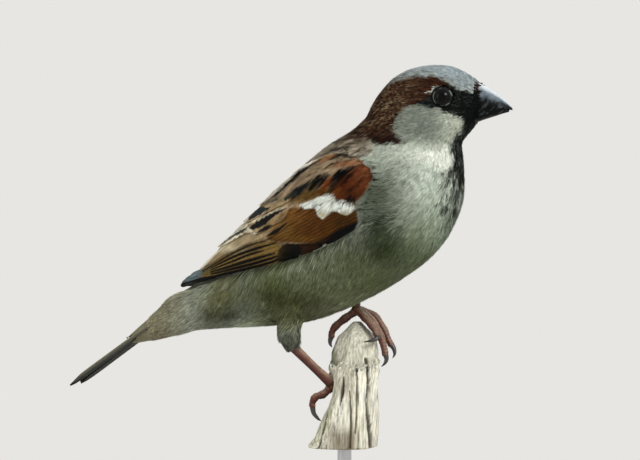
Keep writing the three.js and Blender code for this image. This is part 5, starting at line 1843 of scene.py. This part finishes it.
def addStand():
    base = turnedPiece("stand_base_turned", stand["outline"], (0, 0), stand["baseSides"])
    addObject(base.name, base, baseMaterial(), ["stand_base"])
    rod = stand["rod"]
    steel = rodMaterial()
    radius, low, high, cut = rod["radius"], rod["from"], rod["to"], rod["chamfer"]
    outline = [(0, low), (radius, low), (radius, high - cut), (radius - cut, high), (0, high)]
    pin = turnedPiece("stand_rod_pin", outline, (rod["x"], rod["y"]), stand["rodSides"])
    addObject(pin.name, pin, steel, ["stand_rod"])
    ring = stand["collar"] + stand["collar"][:1]
    collar = turnedPiece("stand_rod_collar", ring, (rod["x"], rod["y"]), stand["collarSides"])
    addObject(collar.name, collar, steel)
    for piece in (base, pin, collar):
        piece.set_sharp_from_angle(angle=math.radians(stand["sharp"]))


print("stand")
addStand()

# floor and backdrop

stage = {"floorSize": 8, "dark": (0.74, 0.73, 0.70), "light": (0.78, 0.77, 0.74),
         "fade": (0.15, 0.33)}  # in metres from the middle, where the floor passes into the backdrop


def addStage():
    bm = bmesh.new()
    bmesh.ops.create_grid(bm, x_segments=1, y_segments=1, size=stage["floorSize"])
    floorMesh = finishBmesh(bm, "floor")
    floor = bpy.data.objects.new("floor", floorMesh)
    bpy.context.scene.collection.objects.link(floor)
    finish = Finish("paleFloor", roughness=0.9, specular=0.1)
    coords = finish.place()
    mottled = finish.noise(coords, 3, 2)
    finish.wear(colour=finish.mix(mottled, stage["dark"], stage["light"]))
    shown = finish.node("Emission", {}, {"Color": (*backdropColour, 1), "Strength": 1.0})
    away = finish.node("VectorMath", {"operation": "LENGTH"}, {0: coords}, output="Value")
    far = away.step(*stage["fade"])
    path = [finish.node("LightPath", output=name) for name in ("Is Camera Ray", "Is Glossy Ray")]
    seen = far * path[0].maths("MAXIMUM", path[1])
    both = finish.node("MixShader", {}, {0: seen, 1: Wire(finish, finish.shader.outputs[0]), 2: shown})
    finish.tree.links.new(both.socket, finish.tree.nodes["Material Output"].inputs["Surface"])
    floorMesh.materials.append(finish.material)
    world = bpy.data.worlds.new("studio")
    bpy.context.scene.world = world
    world.use_nodes = True
    tree = world.node_tree
    tree.nodes.clear()
    out, either = tree.nodes.new("ShaderNodeOutputWorld"), tree.nodes.new("ShaderNodeMixShader")
    path, top = tree.nodes.new("ShaderNodeLightPath"), tree.nodes.new("ShaderNodeMath")
    top.operation = "MAXIMUM"
    tree.links.new(path.outputs["Is Camera Ray"], top.inputs[0])
    tree.links.new(path.outputs["Is Glossy Ray"], top.inputs[1])
    tree.links.new(top.outputs[0], either.inputs[0])
    for i, (colour, strength) in enumerate((((1, 1, 1), light["world"]), (backdropColour, 1))):
        shade = tree.nodes.new("ShaderNodeBackground")
        shade.inputs[0].default_value, shade.inputs[1].default_value = (*colour, 1), strength
        tree.links.new(shade.outputs[0], either.inputs[i + 1])
    tree.links.new(either.outputs[0], out.inputs[0])


print("floor and backdrop")
addStage()
bpy.context.scene.view_settings.view_transform = "Standard"
